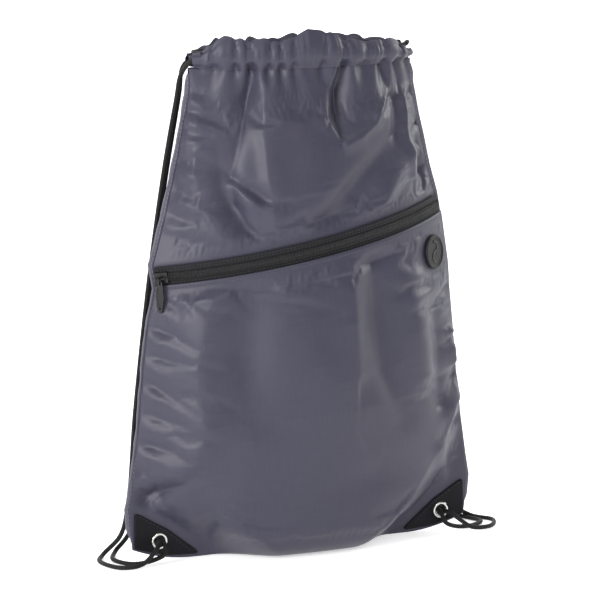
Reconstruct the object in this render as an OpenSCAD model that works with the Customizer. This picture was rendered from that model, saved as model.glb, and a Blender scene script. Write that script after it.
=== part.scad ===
// Drawstring backpack: a stuffed cloth sack with a gathered hem, two drawcords that
// serve as shoulder straps, a slanting zip pocket and a rubber earphone port.
// +Z is up, the front faces -Y, and the origin is the middle of the base.

/* [Bag] */
// Height of the standing bag, floor to the top of the hem
bag_h = 412; // [370:2:500]
// Width across the side seams where the bag is widest
bag_w = 298; // [260:2:360]
// Depth, front to back, where the bag is fullest
bag_d = 108; // [90:1:140]
// Width of the gathered mouth
mouth_w = 191; // [150:1:230]
// Depth of the gathered mouth
mouth_d = 56; // [44:1:70]
// Depth of the flattened foot that the bag stands on
foot_d = 44; // [30:1:60]
// Thickness of one layer of cloth
cloth_t = 1.2; // [0.8:0.1:1.4]
// Height of the hem tunnel
hem_h = 22; // [18:1:28]
// Thickness of the hem tunnel, front to back
hem_d = 8; // [7:0.5:10]
// Width of the flange outside each side seam
seam_w = 5; // [3:0.5:8]

/* [Zip] */
// Height of the middle of the zip above the floor
zip_z = 251; // [200:1:302]
// Angle that the zip climbs from left to right
zip_tilt = 10; // [0:0.5:12]
// Width of the bag at the zip
zip_w = 245; // [200:1:292]
// Depth of the bag at the zip
zip_d = 96; // [80:1:116]
// Width of each zip tape
tape_w = 7.4; // [6:0.2:10]
// Width of one row of coil
coil_w = 2.4; // [1.6:0.1:3]
// Height of the coil above its tape
coil_h = 1.4; // [1:0.1:2]
// Length of the slider along the zip
slider_l = 11; // [8:0.5:14]
// Length of the pull tab from its eye to its tip
pull_l = 23; // [16:1:28]
// Width of the pull tab
pull_w = 6.6; // [5:0.2:8]

/* [Cords and eyelets] */
// Diameter of the drawcord
cord_d = 3.6; // [2.8:0.1:3.8]
// Radius of the hole through an eyelet
eyelet_r = 4.2; // [4:0.1:5.1]
// Width of an eyelet's flange around its hole
eyelet_flange = 2.4; // [2:0.1:3]
// Distance of an eyelet from the side seam
eyelet_in = 22; // [18:1:26]
// Height of an eyelet above the floor
eyelet_z = 17; // [15:1:20]
// Length of a corner patch along the bottom
patch_w = 58; // [50:1:62]
// Height of a corner patch up the side seam
patch_h = 42; // [36:1:46]

/* [Earphone port] */
// Radius of the rubber disc
port_r = 14; // [11:0.5:16]
// Thickness of the rubber disc
port_t = 1.8; // [1.4:0.1:2.4]
// Distance of the port below the middle of the zip
port_drop = 35; // [30:1:60]
// Angle of the port around the front, from the middle
port_angle = 34.5; // [20:0.5:38]

/* [Hidden] */

// Clearances between pieces that lie on each other
lay = 0.2;          // half the gap between the front and back cloth
gap = 0.3;          // gap between curved layers

// Heights that the shape of the bag follows
hem_z = bag_h - hem_h;
low_z = 40;         // where the bag is widest
round_z = 30;       // height of the rounded foot
flat_z = 10;        // rows this near the zip all have its section
zip_side = -3;      // the zip and the cloth around it sit this far sideways

// Pressed-flat corners at the bottom
ear_w = 0.23 * bag_w;
ear_h = 62;
ear_lift = 12;
ear_from = 54;

// Layers outside the front cloth, counted from its outer face
plate_in = 0.4;     // slider's lower plate
plate_t = 1.1;
tape_t = 0.6;
tape_in = plate_in + plate_t + 0.4;
coil_in = tape_in + tape_t;
top_in = coil_in + coil_h + gap;
top_out = top_in + plate_t;
pocket_in = coil_in + gap;
pocket_low = 0.3;   // the pocket's gap low down, where it is stitched flat
row_gap = 1.6;      // between the two coil rows
slider_half = row_gap / 2 + coil_w + 1;
pocket_edge = slider_half + 1.2;

// Slider bridge, link and pull, seen across the zip
bar_t = 0.7;
bar_w = 0.9;
bar_n = top_out + 3.3;
leg_l = 1;
link_r = 2.4;       // link's wire centre
wire_r = 0.5;
link_drop = 1.2;    // link's centre below the bar
tab_t = 1.6;
tab_eye = 2.1;
tab_hole = 0.85;

// Cord inside the hem
hem_x = mouth_w / 2 - 11;
run_up = 2.6;       // each cord's height above or below the hem's middle
knot_r = 6.2;

// Half the bag's width and depth at height z
function share(a, b, f) = a + (b - a) * f;
function low_at(f) = share(low_z, zip_z - flat_z, f);
function high_at(f) = share(zip_z + flat_z, hem_z, f);
function half_w(z) = lookup(z, [
    [0, bag_w / 2 - 3], [low_z, bag_w / 2],
    [low_at(0.35), share(bag_w, zip_w, 0.4) / 2], [low_at(0.82), share(bag_w, zip_w, 0.75) / 2],
    [zip_z - flat_z, zip_w / 2], [zip_z + flat_z, zip_w / 2],
    [high_at(0.22), share(zip_w, mouth_w, 0.31) / 2], [high_at(0.6), share(zip_w, mouth_w, 0.75) / 2],
    [high_at(0.86), mouth_w / 2], [hem_z, mouth_w / 2]]);
function belly_d(z) = lookup(z, [
    [round_z, bag_d / 2 - 4], [low_at(0.4), bag_d / 2],
    [zip_z - flat_z, zip_d / 2], [zip_z + flat_z, zip_d / 2],
    [high_at(0.28), share(zip_d, mouth_d, 0.15) / 2], [high_at(0.6), share(zip_d, mouth_d, 0.55) / 2],
    [high_at(0.86), share(zip_d, mouth_d, 0.9) / 2], [hem_z, mouth_d / 2]]);
function foot_round(z) = sqrt(1 - pow(1 - min(z, round_z) / round_z, 2));
function half_d(z) = z < round_z ? share(foot_d / 2, belly_d(round_z), foot_round(z)) : belly_d(z);

// Each row of cloth is an arc through both seams, in a plane that tilts near the zip
function tilt(z) = zip_tilt * max(0, min(1, (z - low_z) / (zip_z - flat_z - low_z),
                                         (hem_z - 10 - z) / (hem_z - 10 - zip_z - flat_z)));
function row_w(z) = half_w(z) / cos(tilt(z));
function row_r(z) = (pow(row_w(z), 2) + pow(half_d(z), 2)) / (2 * half_d(z));
function row_a(z) = asin(row_w(z) / row_r(z));

// 0 on the pressed corners, 1 on the full bag
function smooth(f) = let (g = max(0, min(1, f))) g * g * (3 - 2 * g);
function ear(x, z) = smooth((max(0, half_w(z) - abs(x)) / ear_w + z / ear_h - 1) / 0.7);
// Slides the rows near the zip sideways, so that the cloth there follows the zip's own cylinder
function zip_shift(z) = let (d = z - zip_z, s = sign(d) * min(abs(d), flat_z))
    zip_side * tilt(z) / max(zip_tilt, 0.01) - sin(zip_tilt) * cos(zip_tilt) * s * max(0, 1 - max(0, abs(d) - flat_z) / 60);
function lift(x, z) = ear_lift * pow(max(0, abs(x) - bag_w / 2 + ear_from) / ear_from, 2)
                      * max(0, 1 - z / 60);

// Point of the cloth at share u across the row that starts at height z, out mm outside its
// inner face; side is -1 for the front and 1 for the back
function cloth(u, z, out, side) =
    let (a = u * row_a(z), r = row_r(z), x = r * sin(a) * cos(tilt(z)), s = zip_shift(z))
    [(r + out) * sin(a) * cos(tilt(z)) + s,
     side * (lay + out * cos(a) + r * (cos(a) - cos(row_a(z))) * ear(x, z)),
     z + (r + out) * sin(a) * sin(tilt(z)) + s * tan(tilt(z)) + lift(x, z)];

// The zip's arc: its radius at the front cloth's outer face, its half angle and its centre
zip_r = row_r(zip_z) + cloth_t;
zip_a = row_a(zip_z);
zip_y = row_r(zip_z) * cos(zip_a) - lay;
rest_a = zip_a - 2;

// Rows and columns of the cloth grids
low_rows = [for (f = [0.004, 0.02, 0.045, 0.08, 0.13, 0.19, 0.27, 0.36, 0.46, 0.57, 0.68, 0.79, 0.9])
            share(0, zip_z - flat_z, f)];
high_rows = [for (f = [0.15, 0.3, 0.45, 0.6, 0.73, 0.86, 0.998]) share(zip_z + flat_z, hem_z, f)];
panel_rows = concat([cloth_t + gap], [for (z = low_rows) if (z > 4) z],
                    [zip_z - flat_z, zip_z, zip_z + flat_z], high_rows);
pocket_top = zip_z - pocket_edge / cos(zip_tilt);
pocket_rows = concat([cloth_t + gap], [for (z = low_rows) if (z > 4) z], [zip_z - flat_z, pocket_top]);
columns = [for (i = [-11 : 11]) i / 11];
function pocket_out(z) = cloth_t + share(pocket_low, pocket_in, smooth((z - 40) / 80));

// A closed slab between two grids of points
module slab(outer, inner, flip) {
    rows = len(outer);
    cols = len(outer[0]);
    n = rows * cols;
    function at(r, c, k) = k * n + r * cols + c;
    function quad(a, b, c, d) = flip ? [[a, b, c], [a, c, d]] : [[c, b, a], [d, c, a]];
    skins = [for (r = [0 : rows - 2], c = [0 : cols - 2]) each concat(
        quad(at(r, c, 0), at(r, c + 1, 0), at(r + 1, c + 1, 0), at(r + 1, c, 0)),
        quad(at(r, c, 1), at(r + 1, c, 1), at(r + 1, c + 1, 1), at(r, c + 1, 1)))];
    ends = [for (c = [0 : cols - 2]) each concat(
        quad(at(0, c, 1), at(0, c + 1, 1), at(0, c + 1, 0), at(0, c, 0)),
        quad(at(rows - 1, c, 0), at(rows - 1, c + 1, 0), at(rows - 1, c + 1, 1), at(rows - 1, c, 1)))];
    sides = [for (r = [0 : rows - 2]) each concat(
        quad(at(r, 0, 1), at(r, 0, 0), at(r + 1, 0, 0), at(r + 1, 0, 1)),
        quad(at(r, cols - 1, 0), at(r, cols - 1, 1), at(r + 1, cols - 1, 1), at(r + 1, cols - 1, 0)))];
    polyhedron([for (g = [outer, inner], row = g) each row], concat(skins, ends, sides));
}

function grid(rows, side, out) = [for (z = rows) [for (u = columns) cloth(u, z, out, side)]];
function pocket_grid(extra) = [for (z = pocket_rows)
                               [for (u = columns) cloth(u, z, pocket_out(z) + extra, -1)]];

// A tube swept along points, each ring turned as little as possible from the last
function unit(v) = v / norm(v);
function heading(p, i) = i == 0 ? unit(p[1] - p[0])
    : i == len(p) - 1 ? unit(p[i] - p[i - 1])
    : unit(unit(p[i] - p[i - 1]) + unit(p[i + 1] - p[i]));
function across(n, t) = unit(n - (n * t) * t);
function normals(p, i, n) = i == len(p) ? []
    : let (m = across(n, heading(p, i))) concat([m], normals(p, i + 1, m));
module tube(p, r, sides, first) {
    ns = normals(p, 0, first);
    rings = [for (i = [0 : len(p) - 1]) each
        let (t = heading(p, i), m = ns[i], b = cross(t, m))
        [for (k = [0 : sides - 1]) p[i] + r * (m * cos(360 * k / sides) + b * sin(360 * k / sides))]];
    walls = [for (i = [0 : len(p) - 2], k = [0 : sides - 1]) each
        let (a = i * sides + k, b = i * sides + (k + 1) % sides)
        [[a + sides, b, a], [a + sides, b + sides, b]]];
    caps = [[for (k = [0 : sides - 1]) k], [for (k = [sides - 1 : -1 : 0]) (len(p) - 1) * sides + k]];
    polyhedron(rings, concat(walls, caps));
}

// Where the eyelets stand
function eyelet_at(side) = side * (half_w(eyelet_z) - eyelet_in);
cloth_front = lay + cloth_t + pocket_low + cloth_t;
patch_t = 1;
patch_front = cloth_front + gap;
patch_back = lay + cloth_t + gap;
flange_t = 0.9;
eyelet_front = patch_front + patch_t + lay;
eyelet_back = patch_back + patch_t + lay;
barrel_t = 0.7;
hole_r = eyelet_r + barrel_t + gap;

module eyelet_hole(side) {
    translate([eyelet_at(side), 0, eyelet_z])
        rotate([90, 0, 0])
            cylinder(r = hole_r, h = 40, center = true, $fn = 48);
}

module both_holes() {
    eyelet_hole(-1);
    eyelet_hole(1);
}

// Places its children at an angle around a tilted row, with -Y pointing outwards
module on_row(z, a) {
    translate([zip_shift(z), row_r(z) * cos(row_a(z)) - lay, z + zip_shift(z) * tan(tilt(z))])
        rotate([0, -tilt(z), 0])
            rotate([0, 0, a])
                children();
}

// Part of a ring about the row's axis: radii from the cloth's outer face, heights across the row
module band(a1, a2, out1, out2, h1, h2) {
    rotate([0, 0, a1 - 90])
        rotate_extrude(angle = a2 - a1, $fn = 180)
            translate([zip_r + out1, h1])
                square([out2 - out1, h2 - h1]);
}

module front_panel() {
    color("dimgray")
        difference() {
            slab(grid(panel_rows, -1, cloth_t), grid(panel_rows, -1, 0), true);
            both_holes();
        }
}

module back_panel() {
    color("dimgray")
        difference() {
            slab(grid(panel_rows, 1, cloth_t), grid(panel_rows, 1, 0), false);
            both_holes();
        }
}

module bottom_fold() {
    edge = [for (i = [-10 : 10]) let (p = cloth(i / 10 * 0.5, 0, 0, 1)) [p.x, p.y]];
    color("dimgray")
        linear_extrude(cloth_t)
            polygon(concat(edge, [for (i = [len(edge) - 1 : -1 : 0]) [edge[i].x, -edge[i].y]]));
}

// Earphone port's row, angle and place
port_z = zip_z - port_drop + 15 * sin(zip_tilt);
port_face_r = row_r(port_z) + cloth_t;
port_u = port_angle / row_a(port_z);
port_rise = cloth(port_u, port_z + 12, 0, -1) - cloth(port_u, port_z - 12, 0, -1);
port_outward = [sin(port_angle) * cos(tilt(port_z)), -cos(port_angle), sin(port_angle) * sin(tilt(port_z))];
port_up = [-sin(tilt(port_z)), 0, cos(tilt(port_z))];
port_lean = atan2(-port_rise * port_outward, port_rise * port_up);

module port_frame(out) {
    on_row(port_z, port_angle)
        translate([0, -(port_face_r + out), 0])
            rotate([90 - port_lean, 0, 0])
                children();
}

module pocket_panel() {
    color("slategray")
        difference() {
            slab(pocket_grid(cloth_t), pocket_grid(0), true);
            both_holes();
            port_frame(0)
                cylinder(r = port_r * 0.6, h = 30, center = true, $fn = 48);
        }
}

// The hem tunnels follow an arc through the gathered mouth
hem_r = (pow(mouth_w / 2, 2) + pow(mouth_d / 2, 2)) / mouth_d;
hem_a = asin(hem_x / hem_r);
hem_y = hem_r * cos(asin(mouth_w / 2 / hem_r));

module hem(side) {
    color("dimgray")
        translate([0, side * (lay - hem_y), hem_z])
            rotate([0, 0, (side < 0 ? -90 : 90) - hem_a])
                rotate_extrude(angle = 2 * hem_a, $fn = 180)
                    translate([hem_r, 0])
                        difference() {
                            square([hem_d, hem_h]);
                            translate([cloth_t, cloth_t])
                                square([hem_d - 2 * cloth_t, hem_h - 2 * cloth_t]);
                        }
}

module front_hem() {
    hem(-1);
}

module back_hem() {
    hem(1);
}

// The seam's flange stands clear of both cloths and follows their edge
seam_rows = [for (z = panel_rows) if (z > 6 && z < hem_z - 8) z];
seam_off = cloth_t + gap;
module side_seam(side) {
    edge = [for (z = seam_rows) let (p = cloth(side, z, 0, -1)) [p.x, p.z]];
    outline = concat([for (p = edge) [p.x + side * seam_off, p.y]],
                     [for (i = [len(edge) - 1 : -1 : 0]) [edge[i].x + side * (seam_off + seam_w), edge[i].y]]);
    color("gray")
        rotate([90, 0, 0])
            linear_extrude(2 * cloth_t, center = true)
                polygon(outline);
}

module side_seam_left() {
    side_seam(-1);
}

module side_seam_right() {
    side_seam(1);
}

// Corner patches lie flat on the pressed corners
module corner_patch(side, front) {
    w = half_w(eyelet_z);
    tip = [w - 3, ear_lift];
    outline = [[w - patch_w, 3], [w - patch_w / 2, 5], tip, [w - 4, patch_h], [w - patch_w / 2, patch_h / 2 + 5]];
    color("#23232b")
        difference() {
            translate([0, front ? -patch_front - patch_t : patch_back, 0])
                mirror([side < 0 ? 1 : 0, 0, 0])
                    translate([0, patch_t, 0])
                        rotate([90, 0, 0])
                            linear_extrude(patch_t)
                                polygon(outline);
            eyelet_hole(side);
        }
}

module corner_patch_front_left() {
    corner_patch(-1, true);
}

module corner_patch_front_right() {
    corner_patch(1, true);
}

module corner_patch_back_left() {
    corner_patch(-1, false);
}

module corner_patch_back_right() {
    corner_patch(1, false);
}

// An eyelet is a barrel with a front flange, closed over a washer behind
module ring(r_in, r_out, h) {
    rotate_extrude($fn = 64)
        translate([r_in, 0])
            square([r_out - r_in, h]);
}

module eyelet(side) {
    color("silver")
        translate([eyelet_at(side), eyelet_back + flange_t, eyelet_z])
            rotate([90, 0, 0]) {
                ring(eyelet_r, eyelet_r + barrel_t, eyelet_front + flange_t + eyelet_back + flange_t);
                translate([0, 0, eyelet_front + flange_t + eyelet_back])
                    ring(eyelet_r, eyelet_r + eyelet_flange, flange_t);
            }
}

module eyelet_left() {
    eyelet(-1);
}

module eyelet_right() {
    eyelet(1);
}

module eyelet_washer(side) {
    color("silver")
        translate([eyelet_at(side), eyelet_back + flange_t, eyelet_z])
            rotate([90, 0, 0])
                ring(eyelet_r + barrel_t, eyelet_r + eyelet_flange, flange_t);
}

module eyelet_washer_left() {
    eyelet_washer(-1);
}

module eyelet_washer_right() {
    eyelet_washer(1);
}

// Zip tapes and coil rows, one pair above the other
module zip_tape(side) {
    color("#22222b")
        on_row(zip_z, 0)
            mirror([0, 0, side < 0 ? 1 : 0])
                band(-zip_a + 0.4, zip_a - 0.4, tape_in, coil_in, row_gap / 2, row_gap / 2 + tape_w);
}

module zip_tape_upper() {
    zip_tape(1);
}

module zip_tape_lower() {
    zip_tape(-1);
}

module zip_coil(side) {
    color("#18181c")
        on_row(zip_z, 0)
            mirror([0, 0, side < 0 ? 1 : 0])
                band(-zip_a + 0.6, zip_a - 0.6, coil_in, coil_in + coil_h, row_gap / 2, row_gap / 2 + coil_w);
}

module zip_coil_upper() {
    zip_coil(1);
}

module zip_coil_lower() {
    zip_coil(-1);
}

// Slider: a plate each side of the tapes, joined by the wedge between the coil rows
slider_a = slider_l / zip_r * 90 / PI;
module slider_body() {
    rim = 0.7;
    top_lap = 0.4;
    color("#141416")
        on_row(zip_z, -rest_a) {
            band(-slider_a, slider_a, plate_in, plate_in + plate_t, -slider_half, slider_half);
            band(-slider_a, slider_a, top_in, top_out, -slider_half, slider_half);
            band(slider_a - 1, slider_a - 0.02, plate_in + top_lap, top_in + top_lap, -row_gap / 2 + gap, row_gap / 2 - gap);
            band(-slider_a, slider_a, coil_in + gap, top_in + top_lap, slider_half - rim, slider_half);
            band(-slider_a, slider_a, coil_in + gap, top_in + top_lap, -slider_half, rim - slider_half);
        }
}

// Bridge over the slider's top plate, which the link hangs from
bridge_a = slider_a * 0.75;
module slider_bridge() {
    leg = leg_l / zip_r * 180 / PI;
    color("#141416")
        on_row(zip_z, -rest_a) {
            band(-bridge_a, bridge_a, bar_n - bar_t / 2, bar_n + bar_t / 2, -bar_w / 2, bar_w / 2);
            band(-bridge_a, leg - bridge_a, top_out, bar_n, -bar_w / 2, bar_w / 2);
            band(bridge_a - leg, bridge_a, top_out, bar_n, -bar_w / 2, bar_w / 2);
        }
}

// The pull hangs straight down: first tipped out about the bar, then swung about the link
pull_tip = asin(sin(rest_a) * sin(zip_tilt));
pull_swing = atan(cos(rest_a) * tan(zip_tilt));
module at_bar() {
    on_row(zip_z, -rest_a)
        translate([0, -(zip_r + bar_n), 0])
            rotate([-pull_tip, 0, 0])
                children();
}

module pull_link() {
    color("#141416")
        at_bar()
            translate([0, 0, -link_drop])
                rotate([0, 90, 0])
                    rotate_extrude($fn = 48)
                        translate([link_r, 0])
                            circle(r = wire_r, $fn = 24);
}

// Leaf-shaped tab with a raised rim and a small hole near its tip
module leaf(w, l) {
    hull() {
        circle(r = tab_eye, $fn = 32);
        translate([0, -l * 0.45])
            circle(r = w / 2, $fn = 32);
        translate([0, -l + 2])
            circle(r = w / 2 - 1.2, $fn = 32);
    }
}

module pull_tab() {
    rim_t = 0.35;
    color("#141416")
        at_bar()
            translate([0, 0, -link_drop - link_r])
                rotate([0, pull_swing, 0])
                    rotate([90, 0, 0])
                        difference() {
                            linear_extrude(tab_t, center = true)
                                leaf(pull_w, pull_l);
                            translate([0, 0, tab_t / 2 - rim_t])
                                linear_extrude(tab_t)
                                    translate([0, -4.2])
                                        leaf(pull_w - 2.4, pull_l - 8);
                            cylinder(r = tab_hole, h = 2 * tab_t, center = true, $fn = 32);
                            translate([0, -pull_l + 3.4, 0])
                                cylinder(r = 0.8, h = 2 * tab_t, center = true, $fn = 24);
                        }
}

// Rubber disc with a raised rim and an S-shaped slit, and its ring behind the cloth
module earphone_port_face() {
    rim = 1.6;
    slit = port_r * 0.3;
    sink = 0.6;
    color("#1e1f1e")
        port_frame(pocket_in + cloth_t + 2 * gap)
            difference() {
                union() {
                    cylinder(r = port_r, h = port_t, $fn = 96);
                    translate([0, 0, -1.6])
                        cylinder(r = port_r * 0.55, h = 1.8, $fn = 48);
                }
                translate([0, 0, port_t - sink])
                    cylinder(r = port_r - rim, h = 2, $fn = 96);
                for (s = [-1, 1])
                    translate([0, s * slit, -4])
                        rotate([0, 0, s > 0 ? 90 : -90])
                            rotate_extrude(angle = 180, $fn = 48)
                                translate([slit - 0.4, 0])
                                    square([0.8, 12]);
            }
}

module earphone_port_backing() {
    color("#1e1f1e")
        port_frame(0.7)
            ring(port_r * 0.64, port_r - 2, 0.9);
}

// Cord inside the hem: along the front tunnel, round the far corner and back behind
module cord_run(side, z) {
    r = hem_r + hem_d / 2;
    y0 = lay - hem_y;
    start = -(hem_a + 0.5);
    front = [for (i = [0 : 7]) let (a = share(start, hem_a, i / 7)) [r * sin(a), -(r * cos(a) + y0)]];
    turn = front[7];
    bend = [for (a = [-50, 0, 50]) [turn.x - turn.y * 0.5 * cos(a), -turn.y * sin(a)]];
    back = [for (i = [7 : -1 : 0]) [front[i].x, -front[i].y]];
    route = [for (p = concat(front, bend, back)) [side * p.x, p.y, z]];
    color("black")
        tube(route, cord_d / 2, 8, [0, 0, 1]);
}

run_low = hem_z + hem_h / 2 - run_up;
run_high = hem_z + hem_h / 2 + run_up;

module left_cord_run() {
    cord_run(1, run_low);
}

module right_cord_run() {
    cord_run(-1, run_high);
}

// Free cords: from the hem's corner, down behind the side seam, out in a loop on the floor,
// and from the front through the eyelet to the knot behind
left_outer = [
    [-88.4, -9.2, 398.4], [-95, -3, 397], [-100, 6, 386], [-103, 9, 366], [-113, 9, 315], [-126, 10, 230],
    [-139, 11, 120], [-144, 14, 50], [-148, 22, 18], [-160, 28, 3], [-171, 8, 2.2], [-162, -18, 2.2],
    [-146, -20, 4], [-131, -15, 15], [-127.2, -8, 17], [-127.2, 8.5, 17]];
left_inner = [
    [-88.4, 9.2, 398.4], [-91.5, 9, 397.5], [-96, 13, 390], [-98, 14, 372], [-108, 15, 315], [-121, 16, 230],
    [-133, 17, 120], [-138, 20, 50], [-138, 28, 18], [-149, 31, 3], [-159, 8, 2.2], [-150, -10, 2.2],
    [-135, -13, 4], [-124.5, -14, 9], [-123.4, -8, 17], [-123.4, 8.5, 17]];
right_outer = [
    [88.4, -9.2, 403.6], [92, -5, 404.5], [95.5, 6, 402], [95, 14, 394], [99, 14, 372], [103, 15, 345],
    [112, 16, 300], [124, 16, 220], [136, 16, 110], [141, 20, 45], [150, 26, 15], [166, 22, 3],
    [177, 2, 2.2], [165, -17, 2.2], [146, -20, 4], [131, -15, 15], [127.2, -8, 17], [127.2, 8.5, 17]];
right_inner = [
    [88.4, 9.2, 403.6], [91, 8, 403.6], [92, 14, 400], [91, 19, 391], [94, 19.5, 372], [98, 20, 345],
    [107, 21, 300], [119, 22, 220], [131, 22, 110], [135, 26, 45], [140, 34, 15], [156, 31, 3],
    [166, 2, 2.2], [153, -9, 2.2], [135, -13, 4], [124.5, -14, 9], [123.4, -8, 17], [123.4, 8.5, 17]];

module free_cord(route) {
    color("black")
        tube(route, cord_d / 2, 8, [0, 1, 0]);
}

module left_cord_outer() {
    free_cord(left_outer);
}

module left_cord_inner() {
    free_cord(left_inner);
}

module right_cord_outer() {
    free_cord(right_outer);
}

module right_cord_inner() {
    free_cord(right_inner);
}

module knot(side) {
    color("black")
        translate([eyelet_at(side), eyelet_back + flange_t + gap + knot_r, eyelet_z])
            sphere(r = knot_r, $fn = 48);
}

module left_knot() {
    knot(-1);
}

module right_knot() {
    knot(1);
}

front_panel();
back_panel();
bottom_fold();
pocket_panel();
front_hem();
back_hem();
side_seam_left();
side_seam_right();
corner_patch_front_left();
corner_patch_front_right();
corner_patch_back_left();
corner_patch_back_right();
eyelet_left();
eyelet_right();
eyelet_washer_left();
eyelet_washer_right();
zip_tape_upper();
zip_tape_lower();
zip_coil_upper();
zip_coil_lower();
slider_body();
slider_bridge();
pull_link();
pull_tab();
earphone_port_face();
earphone_port_backing();
left_cord_run();
right_cord_run();
left_cord_outer();
left_cord_inner();
right_cord_outer();
right_cord_inner();
left_knot();
right_knot();
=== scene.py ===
"""The looks of a stuffed drawstring backpack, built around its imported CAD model.

Sizes are in millimetres and become metres where a mesh is made. The bag's own shape uses the
same rule as the design: each row of cloth is an arc through both side seams.
"""

import bpy
import numpy as np
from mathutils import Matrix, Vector


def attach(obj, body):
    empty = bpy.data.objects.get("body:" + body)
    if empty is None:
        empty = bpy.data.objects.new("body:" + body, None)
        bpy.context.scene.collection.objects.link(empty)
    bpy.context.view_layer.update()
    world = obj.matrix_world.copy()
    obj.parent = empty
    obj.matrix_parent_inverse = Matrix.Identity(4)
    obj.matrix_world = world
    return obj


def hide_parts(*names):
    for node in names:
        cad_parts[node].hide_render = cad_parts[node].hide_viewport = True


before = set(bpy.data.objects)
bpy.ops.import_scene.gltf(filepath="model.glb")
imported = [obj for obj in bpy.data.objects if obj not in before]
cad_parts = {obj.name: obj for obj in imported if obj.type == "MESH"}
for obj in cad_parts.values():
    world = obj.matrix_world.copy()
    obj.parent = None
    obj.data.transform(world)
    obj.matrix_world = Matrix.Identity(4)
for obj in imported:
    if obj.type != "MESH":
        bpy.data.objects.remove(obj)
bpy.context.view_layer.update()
MM = 0.001

# ---------------------------------------------------------------- driving sizes
BAG_W, BAG_D, BAG_H = 298.0, 108.0, 412.0
MOUTH_W, MOUTH_D, FOOT_D = 191.0, 56.0, 44.0
ZIP_W, ZIP_D, ZIP_Z, ZIP_SIDE = 245.0, 96.0, 251.0, -3.0
ZIP_TILT = np.radians(10.0)
HEM_H, CLOTH_T = 22.0, 1.2
CORD_D = 3.6
LAY, GAP = 0.2, 0.3
WALL = 0.35                          # how thick a sheet of cloth is drawn
HEM_Z = BAG_H - HEM_H
LOW_Z, ROUND_Z, FLAT_Z = 40.0, 30.0, 10.0
EAR_W, EAR_H, EAR_LIFT, EAR_FROM = 0.23 * BAG_W, 62.0, 12.0, 54.0
CUT_W, CUT_H = 326.0, 444.0          # one panel's cut size, seam allowances included
EYELET_Z, EYELET_IN, EYELET_R = 17.0, 22.0, 4.2
PATCH_W, PATCH_H = 58.0, 42.0
PATCH_T = 1.05                       # a patch's outer face, outside the layer that it lies on
COIL_PITCH, COIL_END = 1.2, 0.012    # one turn of a coil row, and the angle it stops short of the seam
POCKET_OUT = 4.0                     # the pocket's outer face at the port, outside the inner cloth
POCKET_EDGE = 6.4                    # pocket's top edge below the middle of the zip
PORT_R, PORT_ANGLE = 14.0, np.radians(34.5)
PORT_Z = ZIP_Z - 35.0 + 15.0 * np.sin(ZIP_TILT)
HEM_R = (MOUTH_W ** 2 / 4 + MOUTH_D ** 2 / 4) / MOUTH_D
HEM_Y = HEM_R * np.cos(np.arcsin(MOUTH_W / 2 / HEM_R))
HEM_FOLD = 22                        # the listed folds fade over this height below the hem
GATHER_Z = 330                       # above this height the folds run up into the hem's pinches
CALM_W, CALM_H = 62, 48              # the still triangle at each bottom corner
POCKET_FOLDS, FRONT_FOLDS = 1.45, 1.15   # how strongly the listed folds are drawn
FIRST_FOLDS = 0.4                    # share of the folds that a panel has before it settles

# What -1 and 1 stand for in the pieces' names
HAND = {-1: "left", 1: "right"}
FACE = {-1: "front", 1: "back"}
ROW = {-1: "lower", 1: "upper"}

# Routes of the free cords, as in the design
LEFT_OUTER = [
    [-88.4, -9.2, 398.4], [-95, -3, 397], [-100, 6, 386], [-103, 9, 366], [-113, 9, 315], [-126, 10, 230],
    [-139, 11, 120], [-144, 14, 50], [-148, 22, 18], [-160, 28, 3], [-171, 8, 2.2], [-162, -18, 2.2],
    [-146, -20, 4], [-131, -15, 15], [-127.2, -8, 17], [-127.2, 8.5, 17]]
LEFT_INNER = [
    [-88.4, 9.2, 398.4], [-91.5, 9, 397.5], [-96, 13, 390], [-98, 14, 372], [-108, 15, 315], [-121, 16, 230],
    [-133, 17, 120], [-138, 20, 50], [-138, 28, 18], [-149, 31, 3], [-159, 8, 2.2], [-150, -10, 2.2],
    [-135, -13, 4], [-124.5, -14, 9], [-123.4, -8, 17], [-123.4, 8.5, 17]]
RIGHT_OUTER = [
    [88.4, -9.2, 403.6], [92, -5, 404.5], [95.5, 6, 402], [95, 14, 394], [99, 14, 372], [103, 15, 345],
    [112, 16, 300], [124, 16, 220], [136, 16, 110], [141, 20, 45], [150, 26, 15], [166, 22, 3],
    [177, 2, 2.2], [165, -17, 2.2], [146, -20, 4], [131, -15, 15], [127.2, -8, 17], [127.2, 8.5, 17]]
RIGHT_INNER = [
    [88.4, 9.2, 403.6], [91, 8, 403.6], [92, 14, 400], [91, 19, 391], [94, 19.5, 372], [98, 20, 345],
    [107, 21, 300], [119, 22, 220], [131, 22, 110], [135, 26, 45], [140, 34, 15], [156, 31, 3],
    [166, 2, 2.2], [153, -9, 2.2], [135, -13, 4], [124.5, -14, 9], [123.4, -8, 17], [123.4, 8.5, 17]]


# ---------------------------------------------------------------- the bag's shape
def smooth(f):
    """0 below 0, 1 above 1, and an S curve between."""
    g = np.clip(f, 0, 1)
    return g * g * (3 - 2 * g)


def share(a, b, f):
    return a + (b - a) * f


def low_at(f):
    return share(LOW_Z, ZIP_Z - FLAT_Z, f)


def high_at(f):
    return share(ZIP_Z + FLAT_Z, HEM_Z, f)


def half_w(z):
    """Half width across the seams at height z, straight between a few heights."""
    heights = [0, LOW_Z, low_at(0.35), low_at(0.82), ZIP_Z - FLAT_Z, ZIP_Z + FLAT_Z,
               high_at(0.22), high_at(0.6), high_at(0.86), HEM_Z]
    widths = [BAG_W - 6, BAG_W, share(BAG_W, ZIP_W, 0.4), share(BAG_W, ZIP_W, 0.75), ZIP_W, ZIP_W,
              share(ZIP_W, MOUTH_W, 0.31), share(ZIP_W, MOUTH_W, 0.75), MOUTH_W, MOUTH_W]
    return np.interp(z, heights, widths) / 2


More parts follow.
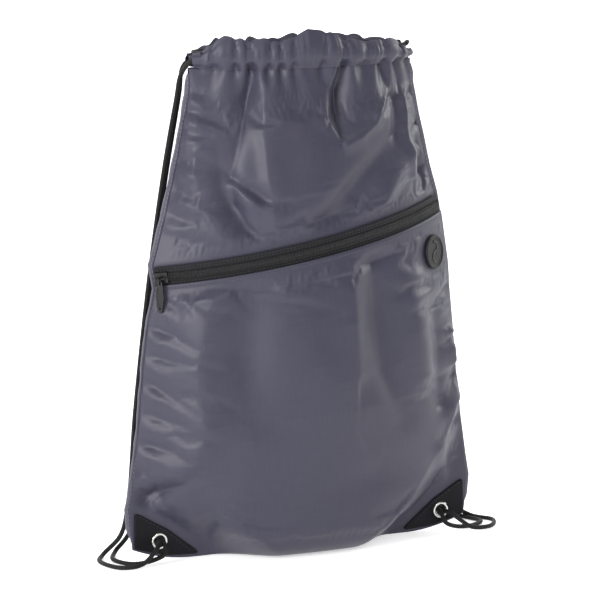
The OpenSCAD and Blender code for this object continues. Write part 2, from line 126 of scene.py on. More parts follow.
def half_d(z):
    """Half depth at height z: a quarter round over the foot, then straight between a few heights."""
    heights = [ROUND_Z, low_at(0.4), ZIP_Z - FLAT_Z, ZIP_Z + FLAT_Z, high_at(0.28), high_at(0.6),
               high_at(0.86), HEM_Z]
    depths = [BAG_D - 8, BAG_D, ZIP_D, ZIP_D, share(ZIP_D, MOUTH_D, 0.15), share(ZIP_D, MOUTH_D, 0.55),
              share(ZIP_D, MOUTH_D, 0.9), MOUTH_D]
    belly = np.interp(z, heights, depths) / 2
    turn = np.sqrt(1 - (1 - np.minimum(z, ROUND_Z) / ROUND_Z) ** 2)
    foot = share(FOOT_D / 2, (BAG_D - 8) / 2, turn)
    return np.where(np.asarray(z) < ROUND_Z, foot, belly)


def tilt(z):
    """Angle of the row that starts at height z: full at the zip, none at the foot and the hem."""
    up = (z - LOW_Z) / (ZIP_Z - FLAT_Z - LOW_Z)
    down = (HEM_Z - 10 - z) / (HEM_Z - 10 - ZIP_Z - FLAT_Z)
    return ZIP_TILT * np.clip(np.minimum(up, down), 0, 1)


def row_w(z):
    return half_w(z) / np.cos(tilt(z))


def row_r(z):
    return (row_w(z) ** 2 + half_d(z) ** 2) / (2 * half_d(z))


def row_a(z):
    return np.arcsin(row_w(z) / row_r(z))


def zip_shift(z):
    """How far a row near the zip slides sideways, so that the cloth there follows the zip's cylinder."""
    d = z - ZIP_Z
    s = np.sign(d) * np.minimum(np.abs(d), FLAT_Z)
    fade = np.maximum(0, 1 - np.maximum(0, np.abs(d) - FLAT_Z) / 60)
    return ZIP_SIDE * tilt(z) / ZIP_TILT - np.sin(ZIP_TILT) * np.cos(ZIP_TILT) * s * fade


def cloth(u, z, out, side):
    """Point of the cloth at share u across the row that starts at height z: an arc through both
    seams in the tilted plane, out mm outside its inner face, pressed flat at the bottom corners."""
    a, r = u * row_a(z), row_r(z)
    x0 = r * np.sin(a) * np.cos(tilt(z))
    ear = smooth((np.maximum(0, half_w(z) - np.abs(x0)) / EAR_W + z / EAR_H - 1) / 0.7)
    reach = np.maximum(0, np.abs(x0) - BAG_W / 2 + EAR_FROM) / EAR_FROM
    lift = EAR_LIFT * reach ** 2 * np.maximum(0, 1 - z / 60)
    s = zip_shift(z)
    x = (r + out) * np.sin(a) * np.cos(tilt(z)) + s
    y = side * (LAY + out * np.cos(a) + r * (np.cos(a) - np.cos(row_a(z))) * ear)
    h = z + (r + out) * np.sin(a) * np.sin(tilt(z)) + s * np.tan(tilt(z)) + lift
    return np.stack([x, y, h], -1)


def eyelet_x(side):
    return side * (half_w(EYELET_Z) - EYELET_IN)


# ---------------------------------------------------------------- meshes
def normals_of(p):
    """Unit normals of a grid of points, from the differences along its rows and columns."""
    du = np.gradient(p, axis=1)
    dv = np.gradient(p, axis=0)
    n = np.cross(du, dv)
    return n / np.maximum(np.linalg.norm(n, axis=-1, keepdims=True), 1e-9)


def grid_faces(rows, cols, wrap_cols=False, wrap_rows=False, base=0):
    """Quads between neighbouring rows and columns, joined round where the grid closes."""
    r = np.arange(rows if wrap_rows else rows - 1)
    c = np.arange(cols if wrap_cols else cols - 1)
    rr, cc = np.meshgrid(r, c, indexing="ij")
    r2, c2 = (rr + 1) % rows, (cc + 1) % cols
    quads = np.stack([rr * cols + cc, rr * cols + c2, r2 * cols + c2, r2 * cols + cc], -1)
    return quads.reshape(-1, 4) + base


def new_mesh(name, verts, faces, uv=None):
    """A mesh object from points in mm, smooth shaded, with one UV for each vertex if given."""
    mesh = bpy.data.meshes.new(name)
    verts = np.asarray(verts, float).reshape(-1, 3) * MM
    faces = np.asarray(faces)
    mesh.vertices.add(len(verts))
    mesh.vertices.foreach_set("co", verts.astype(np.float32).ravel())
    sides = faces.shape[1]
    mesh.loops.add(faces.size)
    mesh.loops.foreach_set("vertex_index", faces.ravel().astype(np.int32))
    mesh.polygons.add(len(faces))
    mesh.polygons.foreach_set("loop_start", np.arange(0, faces.size, sides, dtype=np.int32))
    if uv is not None:
        layer = mesh.uv_layers.new(name="cut")
        flat = np.asarray(uv, float).reshape(-1, 2)[faces.ravel()]
        layer.data.foreach_set("uv", flat.astype(np.float32).ravel())
    mesh.update(calc_edges=True)
    mesh.validate()
    return placed(name, mesh)


def placed(name, mesh):
    """The object of a finished mesh, smooth shaded."""
    mesh.polygons.foreach_set("use_smooth", np.ones(len(mesh.polygons), bool))
    obj = bpy.data.objects.new(name, mesh)
    bpy.context.scene.collection.objects.link(obj)
    return obj


def thicken(obj):
    """Gives a sheet its wall, inwards from its faces."""
    wall = obj.modifiers.new("wall", "SOLIDIFY")
    wall.thickness = WALL * MM
    wall.offset = -1
    return obj


def sheet_mesh(name, p, uv, flip=False):
    """A grid of points as cloth, whose faces point outwards."""
    faces = grid_faces(*p.shape[:2])
    return thicken(new_mesh(name, p, faces[:, ::-1] if flip else faces, uv))


def dress(obj, material, body="root", replaces=()):
    """Gives a piece its material and its body, and hides the CAD nodes it stands for."""
    obj.data.materials.clear()
    obj.data.materials.append(material)
    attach(obj, body)
    if replaces:
        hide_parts(*replaces)
    return obj


def sweep(path, radius, sides, profile=None):
    """Rings along a path, each turned as little as possible from the last. profile(s, angle)
    scales the radius, with s the length along the path in mm."""
    p = np.asarray(path, float)
    t = np.gradient(p, axis=0)
    t /= np.linalg.norm(t, axis=1, keepdims=True)
    n = np.zeros_like(p)
    m = np.cross(t[0], [0.0, 0.0, 1.0])
    if np.linalg.norm(m) < 0.1:
        m = np.cross(t[0], [0.0, 1.0, 0.0])
    for i in range(len(p)):
        m = m - (m @ t[i]) * t[i]
        m /= np.linalg.norm(m)
        n[i] = m
    b = np.cross(t, n)
    s = np.concatenate([[0], np.cumsum(np.linalg.norm(np.diff(p, axis=0), axis=1))])
    a = np.arange(sides) * 2 * np.pi / sides
    scale = 1 if profile is None else profile(s[:, None], a[None, :])
    r = np.full((len(p), sides), float(radius)) * scale
    spokes = n[:, None] * np.cos(a)[None, :, None] + b[:, None] * np.sin(a)[None, :, None]
    return p[:, None] + r[..., None] * spokes, s


def tube(name, path, radius, sides=12, profile=None, closed=False):
    """A tube along a path, closed over at its ends by points on its line."""
    rings, s = sweep(path, radius, sides, profile)
    faces = grid_faces(len(rings), sides, wrap_cols=True, wrap_rows=closed)[:, ::-1]
    verts = rings.reshape(-1, 3)
    uv = np.stack([np.repeat(s, sides), np.tile(np.arange(sides) / sides, len(s))], -1)
    if not closed:
        last = len(verts)
        verts = np.vstack([verts, path[0], path[-1]])
        uv = np.vstack([uv, [0, 0], [s[-1], 0]])
        k = np.arange(sides)
        k2 = (k + 1) % sides
        start = np.stack([np.full(sides, last), k2, k, k], -1)
        base = (len(rings) - 1) * sides
        end = np.stack([np.full(sides, last + 1), base + k, base + k2, base + k2], -1)
        tris = np.vstack([start[:, :3], end[:, :3]])[:, ::-1]
        faces = np.vstack([faces, np.column_stack([tris, tris[:, :1]])])
    return new_mesh_mixed(name, verts, faces, uv)


def new_mesh_mixed(name, verts, faces, uv=None):
    """Like new_mesh, where a face whose last corner repeats its first is a triangle."""
    mesh = bpy.data.meshes.new(name)
    verts = np.asarray(verts, float).reshape(-1, 3) * MM
    polys = [tuple(f[:3]) if f[3] == f[0] else tuple(f) for f in np.asarray(faces).tolist()]
    mesh.from_pydata(verts.tolist(), [], polys)
    if uv is not None:
        layer = mesh.uv_layers.new(name="cut")
        loops = np.zeros(len(mesh.loops), np.int32)
        mesh.loops.foreach_get("vertex_index", loops)
        layer.data.foreach_set("uv", np.asarray(uv, np.float32)[loops].ravel())
    mesh.update()
    return placed(name, mesh)


def curve_through(points, step):
    """Points every step mm along a smooth curve through the route: Catmull-Rom with centripetal knots."""
    p = np.asarray(points, float)
    p = np.vstack([2 * p[0] - p[1], p, 2 * p[-1] - p[-2]])
    out = []
    for i in range(1, len(p) - 2):
        a, b, c, d = p[i - 1], p[i], p[i + 1], p[i + 2]
        t1 = np.linalg.norm(b - a) ** 0.5
        t2 = t1 + np.linalg.norm(c - b) ** 0.5
        t3 = t2 + np.linalg.norm(d - c) ** 0.5
        n = max(3, int(np.linalg.norm(c - b) / step * 1.5))
        t = np.linspace(t1, t2, n, endpoint=False)[:, None]
        ab = (t1 - t) / t1 * a + t / t1 * b
        bc = (t2 - t) / (t2 - t1) * b + (t - t1) / (t2 - t1) * c
        cd = (t3 - t) / (t3 - t2) * c + (t - t2) / (t3 - t2) * d
        abc = (t2 - t) / t2 * ab + t / t2 * bc
        bcd = (t3 - t) / (t3 - t1) * bc + (t - t1) / (t3 - t1) * cd
        out.append((t2 - t) / (t2 - t1) * abc + (t - t1) / (t2 - t1) * bcd)
    line = np.vstack(out + [p[-2:-1]])
    s = np.concatenate([[0], np.cumsum(np.linalg.norm(np.diff(line, axis=0), axis=1))])
    even = np.linspace(0, s[-1], max(4, int(s[-1] / step)))
    return np.stack([np.interp(even, s, line[:, k]) for k in range(line.shape[1])], -1)


def stitches(name, points, outward, length=2.4, gap=1.3, radius=0.24):
    """A row of thread stitches on a surface: each is a small barrel of six sides that follows the
    row for its length and dips at both ends."""
    p = np.asarray(points, float)
    n = np.asarray(outward, float)
    s = np.concatenate([[0], np.cumsum(np.linalg.norm(np.diff(p, axis=0), axis=1))])
    starts = np.arange(0.5, s[-1] - length, length + gap)
    f = np.array([0, 0.12, 0.5, 0.88, 1.0])
    fat = np.array([0.25, 0.9, 1.0, 0.9, 0.25])
    dip = np.array([-0.9, 0.0, 0.35, 0.0, -0.9]) * radius
    at = starts[:, None] + f[None, :] * length
    c = np.stack([np.interp(at, s, p[:, k]) for k in range(3)], -1)
    m = np.stack([np.interp(at, s, n[:, k]) for k in range(3)], -1)
    m /= np.linalg.norm(m, axis=-1, keepdims=True)
    t = np.gradient(c, axis=1)
    t /= np.linalg.norm(t, axis=-1, keepdims=True)
    b = np.cross(t, m)
    c = c + m * dip[None, :, None]
    a = np.arange(6) * np.pi / 3
    ring = m[:, :, None] * np.cos(a)[None, None, :, None] + b[:, :, None] * np.sin(a)[None, None, :, None]
    v = c[:, :, None] + ring * (radius * fat)[None, :, None, None]
    one = grid_faces(5, 6, wrap_cols=True)
    faces = np.vstack([one + 30 * i for i in range(len(starts))])
    return new_mesh(name, v.reshape(-1, 3), faces)


# ---------------------------------------------------------------- materials
def linear(hex_colour):
    """sRGB hex to linear red, green, blue and alpha."""
    c = np.array([int(hex_colour[i:i + 2], 16) for i in (1, 3, 5)]) / 255
    c = np.where(c <= 0.04045, c / 12.92, ((c + 0.055) / 1.055) ** 2.4)
    return (*[float(v) for v in c], 1.0)


def add(tree, kind, settings=None, links=None):
    """Adds a node, sets its inputs by name or number and links sockets into them."""
    node = tree.nodes.new(kind)
    for key, value in (settings or {}).items():
        if isinstance(key, str) and hasattr(node, key):
            setattr(node, key, value)
        else:
            node.inputs[key].default_value = value
    for key, socket in (links or {}).items():
        tree.links.new(socket, node.inputs[key])
    return node


def material(name, colour, roughness, **shader):
    """A new material whose shader's own sockets hold what is the same all over the surface."""
    mat = bpy.data.materials.new(name)
    mat.use_nodes = True
    tree = mat.node_tree
    bsdf = tree.nodes["Principled BSDF"]
    bsdf.inputs["Base Color"].default_value = linear(colour)
    bsdf.inputs["Roughness"].default_value = roughness
    for key, value in shader.items():
        bsdf.inputs[key.replace("_", " ")].default_value = value
    return mat, tree, bsdf


def weave(tree, vector, pitch):
    """Plain weave: warp and weft threads as two crossed waves, each pitch mm apart."""
    waves = {}
    for way in "XY":
        settings = {"bands_direction": way, "Scale": 0.314 / pitch, "Distortion": 0.0}
        waves[way] = add(tree, "ShaderNodeTexWave", settings, {"Vector": vector}).outputs["Fac"]
    return add(tree, "ShaderNodeMath", {"operation": "MULTIPLY"}, {0: waves["X"], 1: waves["Y"]})


def two_tones(tree, bsdf, share_of_second, first, second):
    """Colours the surface from the first tone to the second by a socket's value."""
    mix = add(tree, "ShaderNodeMix", {"data_type": "RGBA"}, {0: share_of_second})
    mix.inputs[6].default_value = linear(first)
    mix.inputs[7].default_value = linear(second)
    tree.links.new(mix.outputs[2], bsdf.inputs["Base Color"])


def relief(tree, bsdf, height, strength, distance):
    """Bumps the surface by a socket's value, distance metres high."""
    bump = add(tree, "ShaderNodeBump", {"Strength": strength, "Distance": distance}, {"Height": height})
    tree.links.new(bump.outputs[0], bsdf.inputs["Normal"])


def polyester(name, dark, light, roughness):
    """Coated 210D polyester, plain weave: a soft satin sheen, faint slubs along both threads and
    slight colour variation. Threads are 0.5 mm apart and drawn 0.9 mm apart, so that they show."""
    mat, tree, bsdf = material(name, light, roughness, Sheen_Weight=0.06, Sheen_Roughness=0.4, IOR=1.42)
    uv = add(tree, "ShaderNodeTexCoord").outputs["UV"]
    threads = weave(tree, uv, 0.9)
    slubs = []
    for way in ((0.05, 1.1, 1.0), (1.1, 0.05, 1.0)):
        along = add(tree, "ShaderNodeMapping", {"Scale": way}, {"Vector": uv}).outputs[0]
        noise = add(tree, "ShaderNodeTexNoise", {"Scale": 1.0, "Detail": 2.0}, {"Vector": along})
        slubs.append(noise.outputs["Fac"])
    slub = add(tree, "ShaderNodeMath", {"operation": "ADD"}, {0: slubs[0], 1: slubs[1]})
    tone = add(tree, "ShaderNodeMapRange", {"From Min": 0.7, "From Max": 1.3, "To Min": 0.25, "To Max": 0.75},
               {"Value": slub.outputs[0]})
    two_tones(tree, bsdf, tone.outputs[0], dark, light)
    height = add(tree, "ShaderNodeMath", {"operation": "MULTIPLY_ADD", 1: 0.5},
                 {0: threads.outputs[0], 2: slub.outputs[0]})
    relief(tree, bsdf, height.outputs[0], 0.25, 0.00012)
    rough = add(tree, "ShaderNodeMapRange", {"From Min": 0.7, "From Max": 1.3, "To Min": roughness - 0.05,
                                             "To Max": roughness + 0.06}, {"Value": slub.outputs[0]})
    tree.links.new(rough.outputs[0], bsdf.inputs["Roughness"])
    return mat


def woven(name, colour, light, pitch, roughness, height, coords="UV"):
    """Woven or braided thread, as a tape's or a cord's: crossed threads pitch mm apart."""
    mat, tree, bsdf = material(name, colour, roughness, Sheen_Weight=0.03, Sheen_Roughness=0.4, IOR=1.36)
    uv = add(tree, "ShaderNodeTexCoord").outputs[coords]
    threads = weave(tree, uv, pitch)
    two_tones(tree, bsdf, threads.outputs[0], colour, light)
    relief(tree, bsdf, threads.outputs[0], 0.6, height * MM)
    return mat


def grained(name, colour, light, roughness, grain, height, **shader):
    """A surface with a fine grain, grain mm across, as moulded rubber, leathercloth or enamel."""
    mat, tree, bsdf = material(name, colour, roughness, **shader)
    where = add(tree, "ShaderNodeTexCoord").outputs["Object"]
    noise = add(tree, "ShaderNodeTexNoise", {"Scale": 1 / (grain * MM), "Detail": 3.0}, {"Vector": where})
    two_tones(tree, bsdf, noise.outputs["Fac"], colour, light)
    relief(tree, bsdf, noise.outputs["Fac"], 0.5, height * MM)
    rough = add(tree, "ShaderNodeMapRange", {"To Min": roughness - 0.06, "To Max": roughness + 0.08},
                {"Value": noise.outputs["Fac"]})
    tree.links.new(rough.outputs[0], bsdf.inputs["Roughness"])
    return mat


POLYESTER = polyester("coated_polyester", "#2a2937", "#3a3848", 0.45)
HEM_POLYESTER = polyester("coated_polyester_hem", "#2a2937", "#3a3848", 0.45)
# The seams' flanges are the panels' polyester painted lighter: a painted highlight along the folded seam
# edges.
SEAM_POLYESTER_PAINTED_HIGHLIGHT = polyester("coated_polyester_seam_painted_highlight", "#45434f", "#5a5864", 0.5)
LEATHERCLOTH = grained("pu_leathercloth", "#050509", "#0d0d13", 0.55, 0.8, 0.05, IOR=1.28)
NICKEL = grained("nickel_plated_brass", "#c9c7c2", "#dad8d4", 0.22, 1.5, 0.004, Metallic=1.0)
ZIP_TAPE = woven("zip_tape_polyester", "#08080b", "#17171d", 0.7, 0.7, 0.15)
ZIP_COIL = grained("nylon_coil", "#09090b", "#141417", 0.42, 0.5, 0.02)
ENAMEL = grained("black_enamel_zinc", "#040405", "#0a0a0c", 0.32, 1.2, 0.01, IOR=1.4)
RUBBER = grained("moulded_rubber", "#0a0b0a", "#131413", 0.6, 0.6, 0.03, IOR=1.4)
CORD = woven("braided_polyester_cord", "#040405", "#121214", 1.1, 0.7, 0.25)
GREY_THREAD = grained("grey_sewing_thread", "#64626e", "#85838f", 0.5, 0.4, 0.02)
DARK_THREAD = grained("dark_sewing_thread", "#33313b", "#4a4853", 0.5, 0.4, 0.02)
BLACK_THREAD = grained("black_sewing_thread", "#101013", "#2b2b31", 0.45, 0.4, 0.02)


# ---------------------------------------------------------------- camera
def aim(az, el, distance, target, lens):
    """A camera at an azimuth and elevation round a target, looking at it."""
    a, e = np.radians(az), np.radians(el)
    place = Vector((np.sin(a) * np.cos(e), -np.cos(a) * np.cos(e), np.sin(e))) * distance + Vector(target)
    data = bpy.data.cameras.new("view")
    data.lens = lens
    data.sensor_width = 36
    data.clip_end = 50
    obj = bpy.data.objects.new("view", data)
    bpy.context.scene.collection.objects.link(obj)
    obj.location = place
    obj.rotation_euler = (Vector(target) - place).to_track_quat("-Z", "Y").to_euler()
    bpy.context.scene.camera = obj


aim(-25, 10, 2.7, (-0.0004, 0.0000, 0.2010), 202.5)


# ---------------------------------------------------------------- cords
def braid(s, a):
    """Radius of a round braid: eight ridges each way round, crossing every 3.2 mm along it."""
    k = 2 * np.pi / 3.2
    return 1 + 0.05 * np.sin(4 * a + k * s) * np.sin(4 * a - k * s)


def free_cord(name, node, route):
    """One free strand from the hem's corner, through its eyelet, to the knot."""
    line = curve_through(route, 1.0)
    obj = tube(name, line, CORD_D / 2, 20, braid)
    dress(obj, CORD, replaces=[node])
    return obj


def hem_run(name, node, side, level):
    """The cord inside the hem: along one tunnel, round the far corner and back along the other."""
    r = HEM_R + 3.1
    half = np.arcsin((MOUTH_W / 2 - 11) / HEM_R)
    a = np.linspace(-half - 0.008, half, 24)
    front = np.stack([r * np.sin(a), HEM_Y - LAY - r * np.cos(a), np.full(24, level)], -1)
    b = np.radians([-60, -30, 0, 30, 60])
    far_x, far_y = front[-1, :2]
    bend = np.stack([far_x - far_y * 0.5 * np.cos(b), -far_y * np.sin(b), np.full(5, level)], -1)
    back = front[::-1] * [1, -1, 1]
    route = np.vstack([front, bend, back]) * [side, 1, 1]
    obj = tube(name, curve_through(route, 1.6), CORD_D / 2, 12, braid)
    dress(obj, CORD, replaces=[node])


def knot(name, node, side):
    """An overhand knot drawn tight: a trefoil, whose line is sin t + 2 sin 2t, cos t - 2 cos 2t, -sin 3t."""
    t = np.linspace(0, 2 * np.pi, 120, endpoint=False)
    line = np.stack([np.sin(t) + 2 * np.sin(2 * t), -1.15 * np.sin(3 * t), np.cos(t) - 2 * np.cos(2 * t)], -1)
    line *= 1.42      # scales the trefoil, whose own reach is 3, to mm
    middle = np.array([eyelet_x(side), 10.6, EYELET_Z])
    obj = tube(name, line + middle, 1.85, 12, braid, closed=True)
    dress(obj, CORD, replaces=[node])
    return obj


left_knot = knot("knot_left", "left_knot", -1)
right_knot = knot("knot_right", "right_knot", 1)
free_cord("cord_left_outer", "left_cord_outer", LEFT_OUTER)
free_cord("cord_left_inner", "left_cord_inner", LEFT_INNER)
free_cord("cord_right_outer", "right_cord_outer", RIGHT_OUTER)
free_cord("cord_right_inner", "right_cord_inner", RIGHT_INNER)
hem_run("cord_left_in_hem", "left_cord_run", 1, HEM_Z + HEM_H / 2 - 2.2)
hem_run("cord_right_in_hem", "right_cord_run", -1, HEM_Z + HEM_H / 2 + 2.2)


# ---------------------------------------------------------------- folds in the cloth
def crease(x, z, line, height, left, right, power=2.0):
    """A fold along a line of (x, z) points: height(s) exp(-|d / w|^power), where d is the distance to
    the line and w is left or right by the side that the point is on."""
    line = np.asarray(line, float)
    height = np.broadcast_to(np.asarray(height, float), len(line))
    best = np.full(x.shape, 1e9)
    value = np.zeros(x.shape)
    for (p, q, h1, h2) in zip(line[:-1], line[1:], height[:-1], height[1:]):
        run = q - p
        t = np.clip(((x - p[0]) * run[0] + (z - p[1]) * run[1]) / (run @ run), 0, 1)
        dx, dz = x - p[0] - t * run[0], z - p[1] - t * run[1]
        d = np.hypot(dx, dz)
        turn = run[0] * dz - run[1] * dx
        side = np.tanh(turn * np.sign(run[1] if abs(run[1]) > 1e-6 else 1) / (np.linalg.norm(run) * 1.5))
        w = (left + right) / 2 + side * (left - right) / 2
        here = (h1 + (h2 - h1) * t) * np.exp(-(d / w) ** power)
        value = np.where(d < best, here, value)
        best = np.minimum(best, d)
    return value


# Pinches of the hem: place across, depth, width, and where the fold below each one ends (x, z)
PINCHES = [(-88, 2.0, 4, -92, 350), (-79, 3.0, 4, -88, 345), (-63, 2.6, 3.2, -66, 352),
           (-52, 5.5, 3.5, -55, 352), (-39, 2.4, 3, -41, 345), (-29, 2.8, 3, -28, 352),
           (-19, 1.8, 3, -16, 348), (5, 2.2, 3.5, 4, 345),
           (24, 6.0, 3.6, 19, 338), (43, 1.6, 4, 44, 355), (62, 3.2, 3.6, 66, 345), (77, 3.4, 3.6, 88, 330),
           (88, 2.0, 4, 97, 345)]
BACK_PINCHES = [(-86, 2.4, 4, -92, 350), (-70, 3.4, 4, -74, 330), (-55, 2.2, 3.4, -58, 352),
                (-36, 5.0, 3.6, -40, 335), (-22, 2.2, 3.2, -20, 350), (-4, 3.2, 3.4, -2, 340),
                (14, 2.0, 3.2, 16, 352), (30, 4.6, 3.6, 34, 336), (49, 2.4, 3.6, 54, 350),
                (66, 3.6, 3.6, 72, 342), (82, 2.8, 4, 92, 350)]


def gathers(x, z, pinches):
    """Folds that fall from the hem's pinches, widening and fading on their way down."""
    total = np.zeros(x.shape)
    for (top, deep, wide, end, foot) in pinches:
        f = np.clip((z - foot) / (HEM_Z + 2 - foot), 0, 1)
        middle = end + (top - end) * f
        w = wide * (2.6 - 1.6 * f)
        total -= deep * f ** 1.3 * np.exp(-((x - middle) / w) ** 2)
        total += 0.35 * deep * f * np.exp(-((np.abs(x - middle) - 1.9 * w) / w) ** 2)
    return total


def front_folds(x, z):
    """The front's folds above the zip, in mm along the surface's normal."""
    d = crease(x, z, [(-83, 384), (-93, 350), (-96, 319), (-95, 285), (-78, 260)],
               [2.5, 4, 5, 4.5, 3], 13, 9, 1.6)
    d -= crease(x, z, [(-80, 330), (-79, 300), (-74, 283)], [1, 3, 3.5], 7, 8, 1.6)
    d -= crease(x, z, [(-53, 380), (-62, 345), (-73, 307)], [5, 4.5, 2], 7, 5, 1.3)
    d -= crease(x, z, [(-73, 307), (-60, 298), (-49, 290)], [2, 4, 3], 4, 5, 1.3)
    d += crease(x, z, [(-70, 300), (-58, 288), (-50, 284)], [2.5, 4, 2], 7, 6, 1.4)
    d -= crease(x, z, [(-73, 307), (-73, 285), (-64, 268), (-52, 256)], [1, 4.5, 5.5, 3], 9, 6, 1.4)
    d += crease(x, z, [(-42, 380), (-46, 340), (-45, 305), (-42, 270)], [3, 4.5, 4, 2], 6, 16, 1.7)
    d -= crease(x, z, [(22, 392), (19, 362), (17, 338)], [6, 8, 6.5], 9, 5, 1.35)
    d += crease(x, z, [(10, 343), (18, 331), (32, 335), (47, 345), (63, 366)],
                [1.5, 4.5, 4.5, 4, 2.5], 6, 7, 1.5)
    d += crease(x, z, [(6, 372), (5, 350), (11, 334)], [1.5, 3, 2], 10, 5)
    d += crease(x, z, [(48, 378), (52, 358)], [3, 2.5], 13, 13)
    d -= crease(x, z, [(66, 326), (42, 308), (22, 292), (-2, 270)], [3, 5, 6, 4], 10, 14)
    d += crease(x, z, [(84, 318), (66, 302), (48, 278), (40, 264)], [3.5, 4.5, 4, 2.5], 12, 10, 1.7)
    d += crease(x, z, [(82, 358), (82, 330), (88, 300)], [5, 4, 2], 5, 9, 1.5)
    d -= crease(x, z, [(73, 362), (72, 335)], [3.5, 2.5], 6, 5)
    d -= crease(x, z, [(98, 322), (104, 300), (106, 288)], [3, 4, 3], 8, 6)
    d += crease(x, z, [(108, 288), (104, 281)], [2.5, 2.5], 5, 5, 1.5)
    d += crease(x, z, [(-20, 350), (-6, 320), (-8, 290)], [1.5, 2.5, 1.5], 22, 22)
    for k, (h, deep) in enumerate(((372, 1.8), (356, 2.2), (342, 1.6), (318, 2.4), (296, 1.8), (276, 2.2))):
        edge = -half_w(h) - 1
        d -= crease(x, z, [(edge, h + 4), (edge + 14 + 3 * (k % 2), h - 3)], [deep, 0.3], 3.2, 4.5)
        d += crease(x, z, [(edge, h - 7), (edge + 16, h - 12)], [deep * 0.8, 0.2], 4, 4)
    for (h, deep) in ((365, 1.8), (338, 2.2), (306, 2.0)):
        edge = half_w(h) + 1
        d -= crease(x, z, [(edge, h), (edge - 15, h - 7)], [deep, 0.3], 3.4, 4)
    return d


def pocket_folds(x, z):
    """The pocket's broad undulations and its creases by the corners, in mm."""
    d = crease(x, z, [(-82, 232), (-92, 205), (-101, 160), (-96, 112), (-103, 84), (-122, 62)],
               [2, 4, 5, 5, 4.5, 3], 18, 13, 1.7)
    d -= crease(x, z, [(-60, 225), (-66, 170), (-62, 122)], [3.5, 4.5, 2], 15, 18)
    d += crease(x, z, [(-30, 222), (-12, 160), (12, 118)], [1.5, 3.0, 2], 30, 22)
    d += crease(x, z, [(16, 235), (18, 190), (20, 150)], [2.5, 4, 2.5], 20, 9, 1.7)
    d -= crease(x, z, [(42, 240), (44, 195), (50, 150), (68, 112)], [4, 5.5, 4.5, 2], 13, 16)
    d += crease(x, z, [(80, 215), (84, 175), (92, 140)], [3, 3.5, 2], 12, 14)
    d -= crease(x, z, [(104, 188), (108, 150), (112, 112)], [2, 3.5, 3], 9, 9)
    d += crease(x, z, [(126, 168), (129, 142)], [3.5, 3.5], 6, 5, 1.5)
    d -= crease(x, z, [(135, 132), (124, 120)], [3.5, 1], 4, 5, 1.5)
    d += crease(x, z, [(137, 118), (127, 106), (120, 84)], [4, 3.5, 1.5], 7, 6, 1.6)
    d -= crease(x, z, [(-140, 50), (-127, 58), (-112, 66), (-98, 82)], [4, 6, 4.5, 1], 7, 7, 1.6)
    d += crease(x, z, [(-122, 45), (-104, 38), (-96, 26)], [3, 4, 2], 9, 12)
    d -= crease(x, z, [(-100, 56), (-88, 34), (-84, 12)], [2, 3.5, 2], 8, 8)
    d += crease(x, z, [(-60, 96), (-72, 60), (-74, 26)], [1, 2.2, 1.2], 16, 14)
    d -= crease(x, z, [(10, 60), (44, 66), (78, 62)], [0.8, 1.6, 0.8], 12, 14)
    d += crease(x, z, [(112, 74), (122, 56), (126, 44)], [2, 3, 2], 8, 7)
    for k, h in enumerate((214, 190, 168, 146, 122, 98, 76)):
        edge = -half_w(h) - 1
        deep = (1.6, 2.4, 1.8, 2.6, 1.6, 2.2, 1.8)[k]
        d -= crease(x, z, [(edge, h), (edge + 16 + 4 * (k % 3), h - 5)], [deep, 0.2], 3.4, 4.6)
        d += crease(x, z, [(edge, h - 10), (edge + 18, h - 15)], [deep * 0.7, 0.2], 4.5, 4.5)
    for (h, deep) in ((206, 1.6), (165, 2.6), (140, 2.2), (96, 2.0)):
        edge = half_w(h) + 1
        d -= crease(x, z, [(edge, h), (edge - 20, h - 8)], [deep, 0.2], 3.4, 5)
    return d


def back_folds(x, z):
    """The back's folds: broad undulations under the gathers and puckers along both seams, in mm."""
    d = crease(x, z, [(70, 380), (84, 320), (92, 240), (86, 160)], [3, 4.5, 4, 2], 14, 12, 1.7)
    d -= crease(x, z, [(38, 370), (52, 300), (58, 220)], [5, 5, 3], 12, 14)
    d += crease(x, z, [(10, 350), (16, 260), (6, 150)], [2.5, 4, 3], 22, 20)
    d -= crease(x, z, [(-36, 385), (-44, 320), (-38, 240), (-50, 170)], [5, 5.5, 5, 3], 10, 14, 1.7)
    d += crease(x, z, [(-76, 370), (-88, 300), (-94, 210), (-86, 120)], [3.5, 5, 4.5, 3], 12, 15, 1.7)
    d -= crease(x, z, [(-20, 110), (30, 84), (84, 90)], [2, 3.5, 2], 16, 16)
    d += crease(x, z, [(-96, 92), (-118, 66)], [3.5, 3], 9, 9)
    d -= crease(x, z, [(134, 56), (112, 66), (92, 88)], [4, 4.5, 1.5], 7, 8)
    for k, h in enumerate((368, 340, 312, 280, 246, 218, 186, 158, 128, 100, 76)):
        for side in (-1, 1):
            edge = side * (half_w(h) + 1)
            deep = 1.4 + 0.5 * ((k + side) % 3)
            d -= crease(x, z, [(edge, h), (edge - side * (16 + 3 * (k % 3)), h - 5)], [deep, 0.2], 3.6, 4.6)
    return d


def off_corner(x, z):
    """How far a point lies from its bottom corner: 1 along the still triangle's long side."""
    return np.maximum(0, half_w(z) - np.abs(x)) / CALM_W + z / CALM_H


def by_mouth(x, z):
    """Above GATHER_Z: 1 where the cloth is free, falling to 0 past the seams' lines."""
    return smooth((half_w(z) - np.abs(x) + 6) / 9)


def calm(x, z):
    """1 where the cloth is free, falling to 0 at the seams' lines, the flat corners and the foot."""
    seam = smooth((half_w(z) - np.abs(x) + 3) / 11)
    corner = smooth((off_corner(x, z) - 1) / 0.35)
    foot = smooth(z / 26)
    return seam * corner * foot


# ---------------------------------------------------------------- cloth panels
def rows_between(z1, z2, step, *marks):
    """Heights from z1 to z2 about step apart, with the marks among them."""
    marks = [z1, *marks, z2]
    return np.concatenate([np.linspace(a, b, max(2, int(round((b - a) / step)) + 1))[:-1]
                           for a, b in zip(marks[:-1], marks[1:])] + [[z2]])


def cut(u, z):
    """Where a point lies on the flat cut panel, in mm."""
    return np.stack([u * CUT_W / 2, z * CUT_H / BAG_H], -1)


